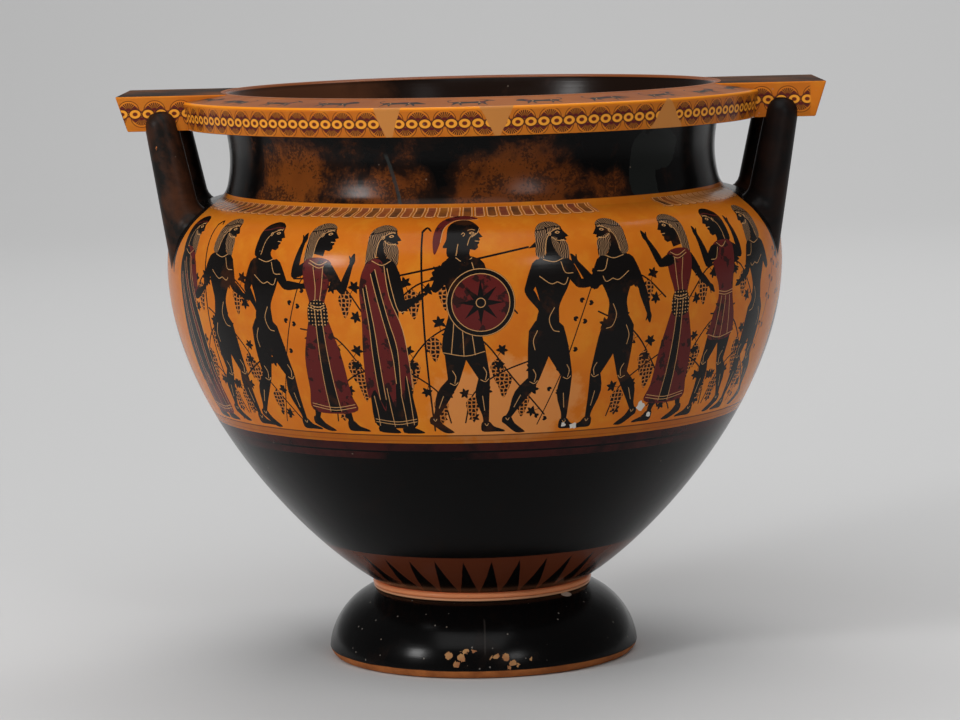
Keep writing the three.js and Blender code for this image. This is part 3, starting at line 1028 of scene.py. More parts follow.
def handle_plate(shape, side):
    """A flat plate flush with the lip, its end undercut and its edges softened."""
    inner = 246.5 * MM
    bottom, top = 531 * MM, shape.height
    undercut = 11 * MM
    arc, half = plate_outline(inner)
    bm = bmesh.new()
    levels = []
    for z, reach in ((bottom, shape.reach - undercut), (top, shape.reach)):
        ring = arc + [(reach, -half), (reach, half)]
        levels.append([bm.verts.new((x * side, y, z)) for x, y in ring])
    low, high = levels
    count = len(low)
    bm.faces.new(low[::-1] if side > 0 else low)
    bm.faces.new(high if side > 0 else high[::-1])
    for i in range(count):
        j = (i + 1) % count
        quad = [low[i], low[j], high[j], high[i]]
        bm.faces.new(quad if side > 0 else quad[::-1])
    bmesh.ops.recalc_face_normals(bm, faces=bm.faces)
    outer = [
        e for e in bm.edges
        if all(abs(v.co.x) > inner for v in e.verts)
        or (abs(abs(e.verts[0].co.y) - half) < 1e-6 and abs(abs(e.verts[1].co.y) - half) < 1e-6
            and e.verts[0].co.z == e.verts[1].co.z)
    ]
    bmesh.ops.bevel(bm, geom=outer, offset=1.6 * MM, segments=3, profile=0.6, affect="EDGES")
    bmesh.ops.triangulate(bm, faces=bm.faces)
    mesh = bpy.data.meshes.new("plate")
    bm.to_mesh(mesh)
    bm.free()
    made = bpy.data.objects.new("plate", mesh)
    bpy.context.scene.collection.objects.link(made)
    unroll = mesh.uv_layers.new(name="unroll")
    kinds, spots = [], []
    for face in mesh.polygons:
        kinds.append(PLATE_TOP if abs(face.normal.z) > 0.8 else PLATE_FACE)
        ends = abs(face.normal.x) > 0.6
        for i in face.vertices:
            p = mesh.vertices[i].co
            along = half + p.y if ends else abs(p.x) - shape.reach
            spots.append((along, p.z - bottom) if kinds[-1] == PLATE_FACE else (p.x, p.y))
    unroll.uv.foreach_set("vector", np.array(spots, np.float32).ravel())
    name_faces(made, paint=np.zeros(len(kinds)), stretch=kinds)
    return made


def tree_socket(tree, name, kind, default=None):
    made = tree.interface.new_socket(name, in_out="INPUT", socket_type=kind)
    if default is not None:
        made.default_value = default
    return made


def column_tree():
    """A rod along a leaning line, thick at its root and round at its top, set at both sides of both
    handles."""
    tree = bpy.data.node_groups.new("handle_columns", "GeometryNodeTree")
    tree.interface.new_socket("Geometry", in_out="OUTPUT", socket_type="NodeSocketGeometry")
    tree_socket(tree, "Root", "NodeSocketVector")
    tree_socket(tree, "Top", "NodeSocketVector")
    tree_socket(tree, "Root Radius", "NodeSocketFloat", 0.02)
    tree_socket(tree, "Top Radius", "NodeSocketFloat", 0.015)
    tree_socket(tree, "Spread", "NodeSocketFloat", 0.07)
    tree_socket(tree, "Sides", "NodeSocketInt", 28)
    tree_socket(tree, "Steps", "NodeSocketInt", 48)
    tree_socket(tree, "Material", "NodeSocketMaterial")

    def node(kind, settings=None, sockets=None):
        made = tree.nodes.new(kind)
        for key, value in (settings or {}).items():
            setattr(made, key, value)
        for key, value in (sockets or {}).items():
            if isinstance(value, bpy.types.NodeSocket):
                tree.links.new(value, made.inputs[key])
            else:
                made.inputs[key].default_value = value
        return made

    def maths(kind, a, b=0.0):
        return node("ShaderNodeMath", {"operation": kind}, {0: a, 1: b}).outputs[0]

    given = node("NodeGroupInput").outputs
    line = node("GeometryNodeCurvePrimitiveLine", None,
        {"Start": given["Root"], "End": given["Top"]})
    rod = node("GeometryNodeResampleCurve", None,
        {"Curve": line.outputs[0], "Count": given["Steps"]})
    run = node("GeometryNodeSplineParameter").outputs
    taper = node("ShaderNodeMapRange", None, {
        "Value": run["Factor"], "To Min": given["Root Radius"], "To Max": given["Top Radius"]})
    whole = node("GeometryNodeSplineLength").outputs["Length"]
    left = maths("SUBTRACT", whole, run["Length"])
    into = maths("MAXIMUM", maths("SUBTRACT", given["Top Radius"], left), 0.0)
    share = maths("DIVIDE", into, given["Top Radius"])
    dome = maths("SQRT",
        maths("MAXIMUM", maths("SUBTRACT", 1.0, maths("MULTIPLY", share, share)), 0.0004))
    radius = maths("MULTIPLY", taper.outputs[0], dome)
    ring = node("GeometryNodeCurvePrimitiveCircle", None,
        {"Resolution": given["Sides"], "Radius": 1.0})
    pipe = node("GeometryNodeCurveToMesh", None, {
        "Curve": rod.outputs[0], "Profile Curve": ring.outputs[0], "Fill Caps": True})
    if "Scale" in pipe.inputs:
        tree.links.new(radius, pipe.inputs["Scale"])
    else:
        thick = node("GeometryNodeSetCurveRadius", None,
            {"Curve": rod.outputs[0], "Radius": radius})
        tree.links.new(thick.outputs[0], pipe.inputs["Curve"])
    pair = node("GeometryNodeJoinGeometry")
    for sign in (1.0, -1.0):
        aside = node("ShaderNodeCombineXYZ", None, {1: maths("MULTIPLY", given["Spread"], sign)})
        moved = node("GeometryNodeTransform", None, {
            "Geometry": pipe.outputs[0], "Translation": aside.outputs[0]})
        tree.links.new(moved.outputs[0], pair.inputs[0])
    both = node("GeometryNodeJoinGeometry")
    tree.links.new(pair.outputs[0], both.inputs[0])
    turned = node("GeometryNodeTransform", None, {
        "Geometry": pair.outputs[0], "Rotation": (0.0, 0.0, math.pi)})
    tree.links.new(turned.outputs[0], both.inputs[0])
    real = node("GeometryNodeRealizeInstances", None, {"Geometry": both.outputs[0]})
    dressed = node("GeometryNodeSetMaterial", None, {
        "Geometry": real.outputs[0], "Material": given["Material"]})
    result = node("NodeGroupOutput")
    tree.links.new(dressed.outputs[0], result.inputs[0])
    return tree


def handle_columns(section, shape, finish):
    """The four columns, with their roots drawn out onto the shoulder."""
    host = bpy.data.objects.new("columns_host", bpy.data.meshes.new("columns_host"))
    bpy.context.scene.collection.objects.link(host)
    modifier = host.modifiers.new("columns", "NODES")
    modifier.node_group = column_tree()
    values = {
        "Root": (274.5 * MM, 0.0, 396 * MM), "Top": (303.5 * MM, 0.0, 552 * MM),
        "Root Radius": 20.5 * MM, "Top Radius": 15.5 * MM, "Spread": shape.columns,
        "Sides": 28, "Steps": 44, "Material": finish,
    }
    for item in modifier.node_group.interface.items_tree:
        if item.in_out == "INPUT":
            modifier[item.identifier] = values[item.name]
    bpy.context.view_layer.update()
    ready = host.evaluated_get(bpy.context.evaluated_depsgraph_get())
    mesh = bpy.data.meshes.new_from_object(ready)
    host.modifiers.clear()
    bpy.data.objects.remove(host)

    co = np.array([v.co for v in mesh.vertices])
    root, top = np.array(values["Root"]), np.array(values["Top"])
    side, flank = np.sign(co[:, 0]), np.sign(co[:, 1])
    rise = np.clip((co[:, 2] - root[2]) / (top[2] - root[2]), 0, 1)
    axis_x = (root[0] + (top[0] - root[0]) * rise) * side
    axis_y = shape.columns * flank
    away = co[:, :2] - np.column_stack([axis_x, axis_y])
    far = np.maximum(np.linalg.norm(away, axis=1), 1e-6)[:, None]
    fillet = 13 * MM
    start = fillet - 1.2 * MM
    depth, facing = wall_distance(section, co)
    climb = np.clip(start - np.clip(depth, 0, None), 0, start)
    outward = (away / far * facing[:, :2]).sum(1)
    push = (fillet - np.sqrt(fillet ** 2 - climb ** 2)) * np.clip(1 - 2.2 * outward, 0, 1)
    co[:, :2] += away / far * push[:, None]
    depth, facing = wall_distance(section, co)
    sunk = np.clip(-depth - 4 * MM, 0, None)[:, None]
    co += facing * sunk
    mesh.vertices.foreach_set("co", co.astype(np.float32).ravel())
    made = bpy.data.objects.new("columns", mesh)
    bpy.context.scene.collection.objects.link(made)
    bm = bmesh.new()
    bm.from_mesh(mesh)
    bmesh.ops.remove_doubles(bm, verts=bm.verts, dist=1e-5)
    bmesh.ops.triangulate(bm, faces=bm.faces)
    bmesh.ops.recalc_face_normals(bm, faces=bm.faces)
    bm.to_mesh(mesh)
    bm.free()
    unroll = mesh.uv_layers.get("unroll") or mesh.uv_layers.new(name="unroll")
    spots = [(mesh.vertices[loop.vertex_index].co.x, mesh.vertices[loop.vertex_index].co.z)
             for loop in mesh.loops]
    unroll.uv.foreach_set("vector", np.array(spots, np.float32).ravel())
    count = len(mesh.polygons)
    name_faces(made, paint=np.zeros(count), stretch=np.full(count, COLUMN))
    return made


def wall_distance(section, co):
    """How far each point stands off the bowl, shoulder and neck outside, and the facing there."""
    wall = []
    for name in ("bowl", "shoulder", "flare", "neck"):
        k = section.names.index(name)
        s = np.linspace(section.start[name], section.end[name], 60)
        r, z = section.place(s, k)
        out, up = section.facing(s, k)
        wall.append(np.column_stack([r, z, out, up]))
    wall = np.vstack(wall)
    r = np.hypot(co[:, 0], co[:, 1])
    gap = (r[:, None] - wall[None, :, 0]) ** 2 + (co[:, 2][:, None] - wall[None, :, 1]) ** 2
    near = wall[gap.argmin(1)]
    depth = (r - near[:, 0]) * near[:, 2] + (co[:, 2] - near[:, 1]) * near[:, 3]
    unit = co[:, :2] / np.maximum(r, 1e-9)[:, None]
    facing = np.column_stack([unit * near[:, 2:3], near[:, 3]])
    return depth, facing


def fuse(pot, parts):
    """The pot and its handles as one closed skin."""
    for part in parts:
        join = pot.modifiers.new("join", "BOOLEAN")
        join.operation, join.solver, join.object = "UNION", "MANIFOLD", part
    bpy.context.view_layer.update()
    ready = pot.evaluated_get(bpy.context.evaluated_depsgraph_get())
    mesh = bpy.data.meshes.new_from_object(ready)
    pot.modifiers.clear()
    old, pot.data = pot.data, mesh
    bpy.data.meshes.remove(old)
    for part in parts:
        bpy.data.objects.remove(part)
    mesh.name = "pot"
    return pot


# ---- surface finish ----------------------------------------------------------------------------


class Number:
    """A number in a material; arithmetic on it lays the nodes."""

    def __init__(self, kit, socket):
        self.kit, self.socket = kit, socket

    def __add__(self, other):
        return self.kit.maths("ADD", self, other)

    def __sub__(self, other):
        return self.kit.maths("SUBTRACT", self, other)

    def __rsub__(self, other):
        return self.kit.maths("SUBTRACT", other, self)

    def __mul__(self, other):
        return self.kit.maths("MULTIPLY", self, other)

    def __truediv__(self, other):
        return self.kit.maths("DIVIDE", self, other)

    def __mod__(self, other):
        return self.kit.maths("FLOORED_MODULO", self, other)

    def __abs__(self):
        return self.kit.maths("ABSOLUTE", self)

    __radd__, __rmul__ = __add__, __mul__


class Kit:
    """Lays the nodes of one material."""

    def __init__(self, name):
        self.material = bpy.data.materials.new(name)
        self.material.use_nodes = True
        self.tree = self.material.node_tree
        self.tree.nodes.clear()

    def node(self, kind, settings=None, sockets=None):
        made = self.tree.nodes.new(kind)
        for key, value in (settings or {}).items():
            setattr(made, key, value)
        for key, value in (sockets or {}).items():
            value = value.socket if isinstance(value, Number) else value
            if isinstance(value, bpy.types.NodeSocket):
                self.tree.links.new(value, made.inputs[key])
            else:
                made.inputs[key].default_value = value
        return made

    def number(self, socket):
        return Number(self, socket)

    def maths(self, kind, *values, clamp=False):
        made = self.node(
            "ShaderNodeMath", {"operation": kind, "use_clamp": clamp}, dict(enumerate(values)))
        return self.number(made.outputs[0])

    def most(self, a, b):
        return self.maths("MAXIMUM", a, b)

    def over(self, x, edge, soft):
        """0 below an edge, 1 above it, over a soft step."""
        return self.maths("ADD", (x - edge) / soft, 0.5, clamp=True)

    def under(self, x, edge, soft):
        return self.maths("ADD", (edge - x) / soft, 0.5, clamp=True)

    def band(self, x, low, high, soft):
        return self.over(x, low, soft) * self.under(x, high, soft)

    def same(self, x, value):
        return self.maths("COMPARE", x, value, 0.4)

    def blob(self, x, y, cx, cy, rx, ry):
        """1 in the middle of an oval, falling to 0 at its edge."""
        dx, dy = (x - cx) / rx, (y - cy) / ry
        return self.maths("SUBTRACT", 1.0, dx * dx + dy * dy, clamp=True)

    def mix(self, factor, a, b):
        made = self.node("ShaderNodeMix", {"data_type": "RGBA"})
        for index, value in ((0, factor), (6, a), (7, b)):
            value = value.socket if isinstance(value, Number) else value
            if isinstance(value, bpy.types.NodeSocket):
                self.tree.links.new(value, made.inputs[index])
            else:
                made.inputs[index].default_value = (
                    value if isinstance(value, float) else (*value, 1.0))
        return made.outputs[2]

    def noise(self, where, scale, detail=3.0, rough=0.55, warp=0.0):
        made = self.node("ShaderNodeTexNoise", None, {
            "Vector": where, "Scale": scale, "Detail": detail, "Roughness": rough,
            "Distortion": warp})
        return self.number(made.outputs[0])

    def cells(self, where, scale, feature="F1", jitter=1.0):
        made = self.node("ShaderNodeTexVoronoi", {"feature": feature}, {
            "Vector": where, "Scale": scale, "Randomness": jitter})
        return made

    def place(self, x, y, z=0.0):
        return self.node("ShaderNodeCombineXYZ", None, {0: x, 1: y, 2: z}).outputs[0]


def ring_chain(kit, ground, red, along, height, pitch, tall):
    """Rings joined by short bars, with palmettes and hearts above and below; along counts rings
    and height is millimetres from the row's middle."""
    dark = (0.020, 0.0070, 0.0045)
    x = (along % 1.0 - 0.5) * pitch
    far = kit.maths("SQRT", x * x * 0.60 + height * height)
    heart = kit.over(kit.maths("COSINE", along * (2 * math.pi)) * -2.4 - abs(height) + 5.4, 0.0,
        1.2)
    colour = kit.mix(0.22, ground, (0.16, 0.034, 0.0095))
    for side, shift in ((1.0, 0.0), (-1.0, 0.5)):
        fan_x = ((along * 0.5 + shift) % 1.0 - 0.5) * (2 * pitch)
        fan_y = height * side - 3.6
        reach = kit.maths("SQRT", fan_x * fan_x * 0.8 + fan_y * fan_y)
        angle = kit.maths("ARCTAN2", fan_x, fan_y) * (11 / math.pi)
        leaf = kit.under(abs(angle % 1.0 - 0.5), 0.36 - reach * 0.014, 0.14)
        above = kit.over(fan_y, -0.6, 0.6)
        fan = above * kit.under(reach, 7.4, 0.5)
        colour = kit.mix(fan * 0.7, colour, (0.50, 0.150, 0.020))
        colour = kit.mix(fan * leaf * kit.over(reach, 2.2, 0.5), colour, dark)
        colour = kit.mix(fan * kit.under(reach, 2.4, 0.5), colour, red)
        colour = kit.mix(above * kit.band(reach, 7.5, 8.7, 0.4) * 0.9, colour, ground)
        colour = kit.mix(above * kit.band(reach, 8.8, 9.5, 0.4) * 0.8, colour, dark)
    colour = kit.mix(heart * 0.9, colour, (0.085, 0.0115, 0.0130))
    colour = kit.mix(kit.under(abs(height), 1.0, 0.4), colour, ground)
    colour = kit.mix(kit.under(abs(height), 0.35, 0.3), colour, dark)
    colour = kit.mix(kit.under(far, 4.7, 0.4), colour, dark)
    colour = kit.mix(kit.under(far, 4.1, 0.4), colour, (0.80, 0.31, 0.030))
    colour = kit.mix(kit.under(far, 1.9, 0.3) * 0.8, colour, dark)
    colour = kit.mix(kit.under(far, 1.5, 0.3), colour, (0.13, 0.018, 0.008))
    return kit.mix(kit.over(abs(height), tall / 2 - 1.1, 0.6), colour, ground)


def paint_material(section, paint):
    """Reserved clay, black slip and added red, laid out on the wall's unrolled map."""
    kit = Kit("fired_clay")
    spot = kit.node("ShaderNodeTexCoord").outputs["Object"]
    unroll = kit.node("ShaderNodeUVMap", {"uv_map": "unroll"}).outputs[0]
    parts = kit.node("ShaderNodeSeparateXYZ", None, {0: unroll})
    turn, run = kit.number(parts.outputs[0]), kit.number(parts.outputs[1])
    axes = kit.node("ShaderNodeSeparateXYZ", None, {0: spot})
    east, north = kit.number(axes.outputs[0]), kit.number(axes.outputs[1])

    def fact(name):
        return kit.number(kit.node("ShaderNodeAttribute", {"attribute_name": name}).outputs["Fac"])

    tint, kind = fact("paint"), fact("stretch")
    start, end = section.start, section.end
    up = run - start["bowl"]                        # metres up the wall from the bowl's root
    ray_count, tongue_count, ring_count = 36.0, 144.0, 148.0
    rays_top, ground_low, ground_top = 0.072, 0.2318, 0.4925
    lower_band, upper_band = (0.2125, 0.2205), (0.2225, 0.2315)
    clay, red = tuple(paint.clay), tuple(paint.red)

    cloud = kit.noise(spot, 9.0, 4.0, 0.6)
    fine = kit.noise(spot, 46.0, 5.0, 0.62)
    grain = kit.noise(spot, 420.0, 3.0, 0.6)
    thin = kit.noise(spot, 24.0, 6.0, 0.66, 0.4)
    wobble = (kit.noise(spot, 30.0, 2.0) - 0.5) * 0.0016

    # black slip, burnt brown in clouds on the neck and inside the mouth
    neck = end["shoulder"]
    heat = kit.blob(turn, run, 0.775, neck + 0.024, 0.050, 0.050)
    for place, rise, wide, tall, share in (
            (0.628, 0.030, 0.045, 0.055, 0.80), (0.835, 0.010, 0.030, 0.030, 0.45),
            (0.16, 0.024, 0.07, 0.055, 0.7), (0.38, 0.040, 0.05, 0.04, 0.8),
            (0.70, 0.020, 0.04, 0.03, 0.50)):
        heat = kit.most(heat, kit.blob(turn, run, place, neck + rise, wide, tall) * share)
    outer_neck = kit.band(run, neck, end["neck"], 0.001)
    haze = kit.over(heat * 0.42 + thin * 0.75 + fine * 0.25, 0.66, 0.30) * outer_neck
    burnt = kit.over(heat * 0.36 + thin * 0.75 + fine * 0.45, 0.76, 0.13) * outer_neck
    black = kit.mix(kit.over(thin, 0.62, 0.10) * 0.3, tuple(paint.slip), (0.012, 0.0055, 0.0035))
    black = kit.mix(haze * 0.85, black, (0.046, 0.0150, 0.0055))
    toast = kit.mix(kit.over(cloud, 0.46, 0.14), tuple(paint.misfire), (0.135, 0.034, 0.0060))
    toast = kit.mix(kit.over(fine * 0.6 + grain * 0.5, 0.585, 0.05) * 0.75, toast,
        (0.020, 0.008, 0.004))
    black = kit.mix(burnt * 0.95, black, toast)
    within = kit.over(run, start["mouth"] + 0.004, 0.006)
    black = kit.mix(within * 0.6, black, (0.019, 0.0080, 0.0042))
    inner_heat = kit.blob(turn, run, 0.415, start["throat"], 0.12, 0.12)
    inner_heat = kit.over(inner_heat * 0.8 + thin * 0.5, 0.50, 0.4) * within
    black = kit.mix(inner_heat, black, (0.10, 0.036, 0.016))

    # smooth grey-green mends at the right of the neck, and a slanting crack
    mend = kit.most(kit.blob(turn, run, 0.866, neck + 0.020, 0.014, 0.060),
                    kit.blob(turn, run, 0.883, neck + 0.052, 0.020, 0.026))
    mend = kit.over(mend + (fine - 0.5) * 0.9, 0.34, 0.02) * outer_neck
    black = kit.mix(mend, black, (0.0130, 0.0150, 0.0140))
    slant = turn - 0.7061 + (run - neck - 0.008) * 0.218 + (fine - 0.5) * 0.003
    crack = kit.under(abs(slant), 0.0011, 0.0006) * outer_neck * kit.under(run, neck + 0.055, 0.004)
    black = kit.mix(crack * 0.8, black, (0.030, 0.035, 0.034))

    # reserved clay, mottled by the firing
    ground = kit.mix(kit.over(cloud, 0.50, 0.40), clay, (0.52, 0.125, 0.008))
    ground = kit.mix(kit.over(fine, 0.60, 0.22) * 0.35, ground, (0.64, 0.26, 0.020))
    worn_low = kit.blob(turn, up, 0.765, 0.275, 0.055, 0.060) * 0.9
    worn_low = kit.over(worn_low + (fine - 0.5) * 1.2, 0.42, 0.25)
    ground = kit.mix(worn_low * 0.75, ground, (0.60, 0.235, 0.070))

    # foot, fillet and rays
    foot_red = kit.mix(kit.over(fine, 0.5, 0.3), (0.46, 0.150, 0.040), (0.28, 0.085, 0.024))
    colour = kit.mix(kit.under(run, end["edge"] - 0.0008 + wobble, 0.0006), black, foot_red)
    # the fillet's two beads: the clay's own pinkish orange, made lighter as painted light where the
    # bowl shades them
    low_bead = kit.band(run, start["fillet_low"] + 0.0003, end["fillet_low"], 0.0005)
    colour = kit.mix(low_bead, colour, (0.62, 0.30, 0.16))
    top_bead = kit.band(run, start["fillet"] + 0.0003, end["fillet"] + 0.0012, 0.0006)
    colour = kit.mix(top_bead, colour, (0.74, 0.260, 0.110))
    ray = abs((turn * ray_count + 0.155 + wobble * 60.0) % 1.0 - 0.5)
    ray_half = (1.0 - kit.most(up, 0.0) / (wobble * 4.0 + 0.0655)) * 0.5
    ray_half = ray_half - kit.band(up, 0.010, 0.050, 0.03) * 0.035
    # the clay between the rays takes the ray ground colour: the clay's own colour darkened with
    # painted shade under the bowl
    shaded_ray_gap = kit.over(ray, ray_half, 0.03) * kit.band(up, 0.001, wobble + rays_top, 0.0006)
    colour = kit.mix(shaded_ray_gap, colour, tuple(paint.rays))

    # purple-red bands, then the picture's ground and the lines under it
    wine = kit.mix(kit.over(fine, 0.55, 0.2), (0.038, 0.0070, 0.0065), (0.016, 0.0050, 0.0050))
    low_band = kit.band(up, *lower_band, 0.0006) * kit.over(cloud, 0.46, 0.12)
    colour = kit.mix(low_band, colour, wine)
    colour = kit.mix(kit.band(up, *upper_band, 0.0006), colour, wine)
    colour = kit.mix(kit.band(up, wobble * 0.4 + ground_low, ground_top, 0.0005), colour, ground)
    colour = kit.mix(kit.band(up, 0.2322, 0.2400, 0.0008) * 0.45, colour, (0.16, 0.040, 0.007))
    colour = kit.mix(kit.band(up, 0.2400, 0.2414, 0.0005) * 0.85, colour, (0.05, 0.015, 0.006))
    colour = kit.mix(kit.band(up, 0.2345, 0.2352, 0.0004) * 0.5, colour, (0.10, 0.03, 0.008))

    # tongues round the shoulder, dark red and black by turns
    tongue = turn * tongue_count
    across = abs(tongue % 1.0 - 0.5)
    low, high = 0.4665, 0.4885
    round_end = kit.maths("SQRT", kit.most(0.25 - across * across, 0.0)) * 0.0085
    inner = kit.under(across, 0.315, 0.05) * kit.band(up, 0.0052 + low - round_end, high - 0.0004,
        0.0006)
    kept = 1.0 - kit.band(turn + (fine - 0.5) * 0.006, 0.822, 0.867, 0.0012)
    bare = kit.band(turn, 0.885, 0.965, 0.004) * 0.8
    faded = kit.over(fine, 0.46, 0.3) * 0.45
    tongue_tint = kit.mix(kit.over(tongue % 2.0, 1.0, 0.01), (0.150, 0.036, 0.030),
        (0.052, 0.032, 0.022))
    tongue_tint = kit.mix(faded, tongue_tint, ground)
    edge = kit.under(across, 0.46, 0.03) * kit.over(up, 0.0028 + low - round_end, 0.0005)
    edge = edge * kit.under(up, high - 0.0002, 0.0004)
    colour = kit.mix(edge * kept, colour, (0.080, 0.022, 0.008))
    pale = kit.under(across, 0.425, 0.03) * kit.over(up, 0.0034 + low - round_end, 0.0005)
    colour = kit.mix(pale * kit.under(up, high - 0.0001, 0.0004) * kept, colour,
        (0.74, 0.32, 0.110))
    colour = kit.mix(inner * kept * (1.0 - bare), colour, tongue_tint)

    # painted shapes cut into the wall
    worn_red = kit.over(kit.noise(spot, 90.0, 3.0, 0.6), 0.585, 0.03)
    figure = kit.mix(
        kit.over(thin, 0.60, 0.08) * 0.55, (0.0060, 0.0048, 0.0044), (0.050, 0.015, 0.005))
    shape = kit.mix(
        kit.same(tint, float(RED)), figure, kit.mix(worn_red * 0.85, red, (0.014, 0.008, 0.007)))
    shape = kit.mix(kit.same(tint, float(CUT)), shape, tuple(paint.cut))
    shape = kit.mix(kit.same(tint, float(LOSS)), shape, (0.62, 0.58, 0.52))
    flat = kit.place(turn * 1.9, up)
    berries = kit.cells(flat, 250.0, "DISTANCE_TO_EDGE", 0.35)
    net = kit.under(kit.number(berries.outputs["Distance"]), 0.13, 0.08)
    shape = kit.mix(kit.same(tint, float(CLUSTER)) * net, shape, (0.46, 0.15, 0.03))
    dots = kit.cells(flat, 300.0, "F1", 0.15)
    dot = kit.under(kit.number(dots.outputs["Distance"]), 0.22, 0.1)
    shape = kit.mix(kit.same(tint, float(DOTTED)) * dot, shape, tuple(paint.cut))
    lock = abs((turn * 1180.0 + kit.noise(flat, 60.0, 2.0) * 9.0) % 1.0 - 0.5)
    strand = kit.under(lock, 0.22, 0.12)
    shape = kit.mix(kit.same(tint, float(HAIR)) * (strand * 0.75), shape, (0.36, 0.20, 0.10))
    painted = kit.over(tint, 0.5, 0.1)
    colour = kit.mix(painted * kit.under(run, end["shoulder"], 0.0001), colour, shape)

    # the black patch at each handle runs on up the neck
    off = abs((turn + 0.25) % 0.5 - 0.25) * 360.0
    colour = kit.mix(
        kit.under(off, 5.5, 0.1) * kit.band(up, 0.4828, 0.494, 0.0004), colour, black)

    # rim, brim and lip
    rim_tall = (end["rim"] - start["rim_turn"]) / MM
    chain = ring_chain(
        kit, ground, red, turn * ring_count, (run - start["rim_turn"]) / MM - rim_tall / 2 - 0.6,
        12.1,
        rim_tall)
    colour = kit.mix(kit.band(run, start["rim_turn"] + 0.001, end["rim_edge"] - 0.002, 0.0006),
        colour, chain)
    # a brighter orange band along the rim's rounded top edge: a painted highlight
    colour = kit.mix(
        kit.band(run, end["rim_edge"] - 0.0035, end["rim_edge"], 0.0008), colour,
        (0.80, 0.260, 0.014))
    rim_up = (run - start["rim_turn"]) / (end["rim_edge"] - start["rim_turn"])
    ragged = (fine - 0.5) * 0.0035
    patch = 0.0
    for place, wide, grow in ((0.7070, 0.0016, 0.0061), (0.7631, 0.0010, 0.0082),
        (0.8600, 0.0113, -0.0107),
                              (0.213, 0.0070, 0.0030), (0.391, 0.0040, -0.0030)):
        reach = rim_up * grow + wide
        patch = kit.most(patch, kit.over(reach + ragged - abs(turn - place), 0.0, 0.0004))
    patch = patch * kit.band(run, start["rim_turn"] + 0.0008, end["rim_edge"], 0.0006)
    colour = kit.mix(patch, colour, (0.50, 0.195, 0.045))
    brim = kit.band(run, end["rim_edge"] - 0.0005, start["mouth"] + 0.001, 0.0006)
    brim_tint = kit.mix(kit.over(cloud + fine * 0.5, 0.75, 0.3), (0.31, 0.086, 0.008),
        (0.22, 0.056, 0.009))
    colour = kit.mix(brim, colour, kit.mix(painted, brim_tint, shape))
    colour = kit.mix(kit.band(run, start["mouth"] - 0.0015, start["mouth"] + 0.003, 0.0008), colour,
                     (0.20, 0.055, 0.014))

    # handles: dark columns, ornament on the plates' faces and dark tops
    column = kit.mix(kit.over(thin, 0.52, 0.22), (0.0085, 0.0070, 0.0060), (0.062, 0.022, 0.010))
    front_right = kit.over(east, 0.0, 0.01) * kit.under(north, 0.0, 0.01)
    column = kit.mix(front_right * 0.8, column, (0.0048, 0.0040, 0.0042))
    flake = kit.over(kit.noise(spot, 38.0, 4.0, 0.6), 0.71, 0.015)
    column = kit.mix(flake, column, (0.40, 0.125, 0.035))
    plate = ring_chain(kit, ground, red, turn / 0.0126, run / MM - 17.0, 12.6, 33.0)
    plate = kit.mix(kit.over(turn, -0.016, 0.002) * kit.over(east, 0.0, 0.01), plate, ground)
    top = kit.mix(kit.over(cloud, 0.55, 0.25), (0.026, 0.016, 0.011), (0.120, 0.042, 0.014))
    colour = kit.mix(kit.same(kind, float(COLUMN)), colour, column)
    colour = kit.mix(kit.same(kind, float(PLATE_TOP)), colour, top)
    colour = kit.mix(kit.same(kind, float(PLATE_FACE)), colour, plate)

    # chips, a knock, a join and pits on the foot, and specks all over
    chips = kit.cells(spot, 120.0)
    pick = kit.number(kit.node("ShaderNodeSeparateXYZ", None,
        {0: chips.outputs["Color"]}).outputs[0])
    foot_up = run - end["edge"]
    cluster = 0.0
    for place, rise, wide, tall in ((0.727, 0.012, 0.030, 0.012), (0.775, 0.010, 0.032, 0.014),
                                    (0.31, 0.010, 0.03, 0.012), (0.05, 0.014, 0.02, 0.010)):
        cluster = kit.most(cluster, kit.blob(turn, foot_up, place, rise, wide, tall))
    chip = kit.over(pick * 0.6 + cluster * 0.8, 0.82, 0.02) * kit.over(cluster, 0.02, 0.01)
    shape_off = kit.number(chips.outputs["Distance"]) + (grain - 0.5) * 0.5 + (fine - 0.5) * 0.4
    chip = chip * kit.under(shape_off, 0.46, 0.03)
    colour = kit.mix(chip, colour,
        kit.mix(kit.over(fine, 0.5, 0.2), tuple(paint.chip), (0.30, 0.12, 0.05)))
    knock_x = (turn - 0.8847) * 0.647
    knock_y = run - start["fillet_low"] + 0.003
    knock = kit.under(kit.maths("SQRT", knock_x * knock_x * 0.5 + knock_y * knock_y), 0.0042,
        0.0006)
    colour = kit.mix(knock, colour, (0.56, 0.47, 0.39))
    join = kit.under(abs(turn - 0.7512 + wobble * 1.2), 0.0009, 0.0006)
    join = join * kit.band(foot_up, 0.016, 0.052, 0.004)
    colour = kit.mix(join * 0.4, colour, (0.040, 0.034, 0.030))
    foot_cells = kit.cells(spot, 150.0)
    foot_pick = kit.node("ShaderNodeSeparateXYZ", None, {0: foot_cells.outputs["Color"]})
    pits = kit.over(kit.number(foot_pick.outputs[1]) + kit.over(cloud, 0.45, 0.2) * 0.10, 0.90,
        0.02)
    pits = pits * kit.under(kit.number(foot_cells.outputs["Distance"]), 0.13, 0.05)
    pits = pits * kit.under(run, start["fillet_low"] - 0.002, 0.001)
    colour = kit.mix(pits * 0.55, colour, (0.26, 0.23, 0.20))
    specks = kit.cells(spot, 85.0)
    speck_pick = kit.node("ShaderNodeSeparateXYZ", None, {0: specks.outputs["Color"]})
    speck = kit.over(kit.number(speck_pick.outputs[1]) + kit.under(run, start["bowl"], 0.01) * 0.12,
        0.92, 0.02)
    speck = speck * kit.under(kit.number(specks.outputs["Distance"]), 0.065, 0.02)
    colour = kit.mix(speck * 0.6, colour, (0.22, 0.17, 0.13))

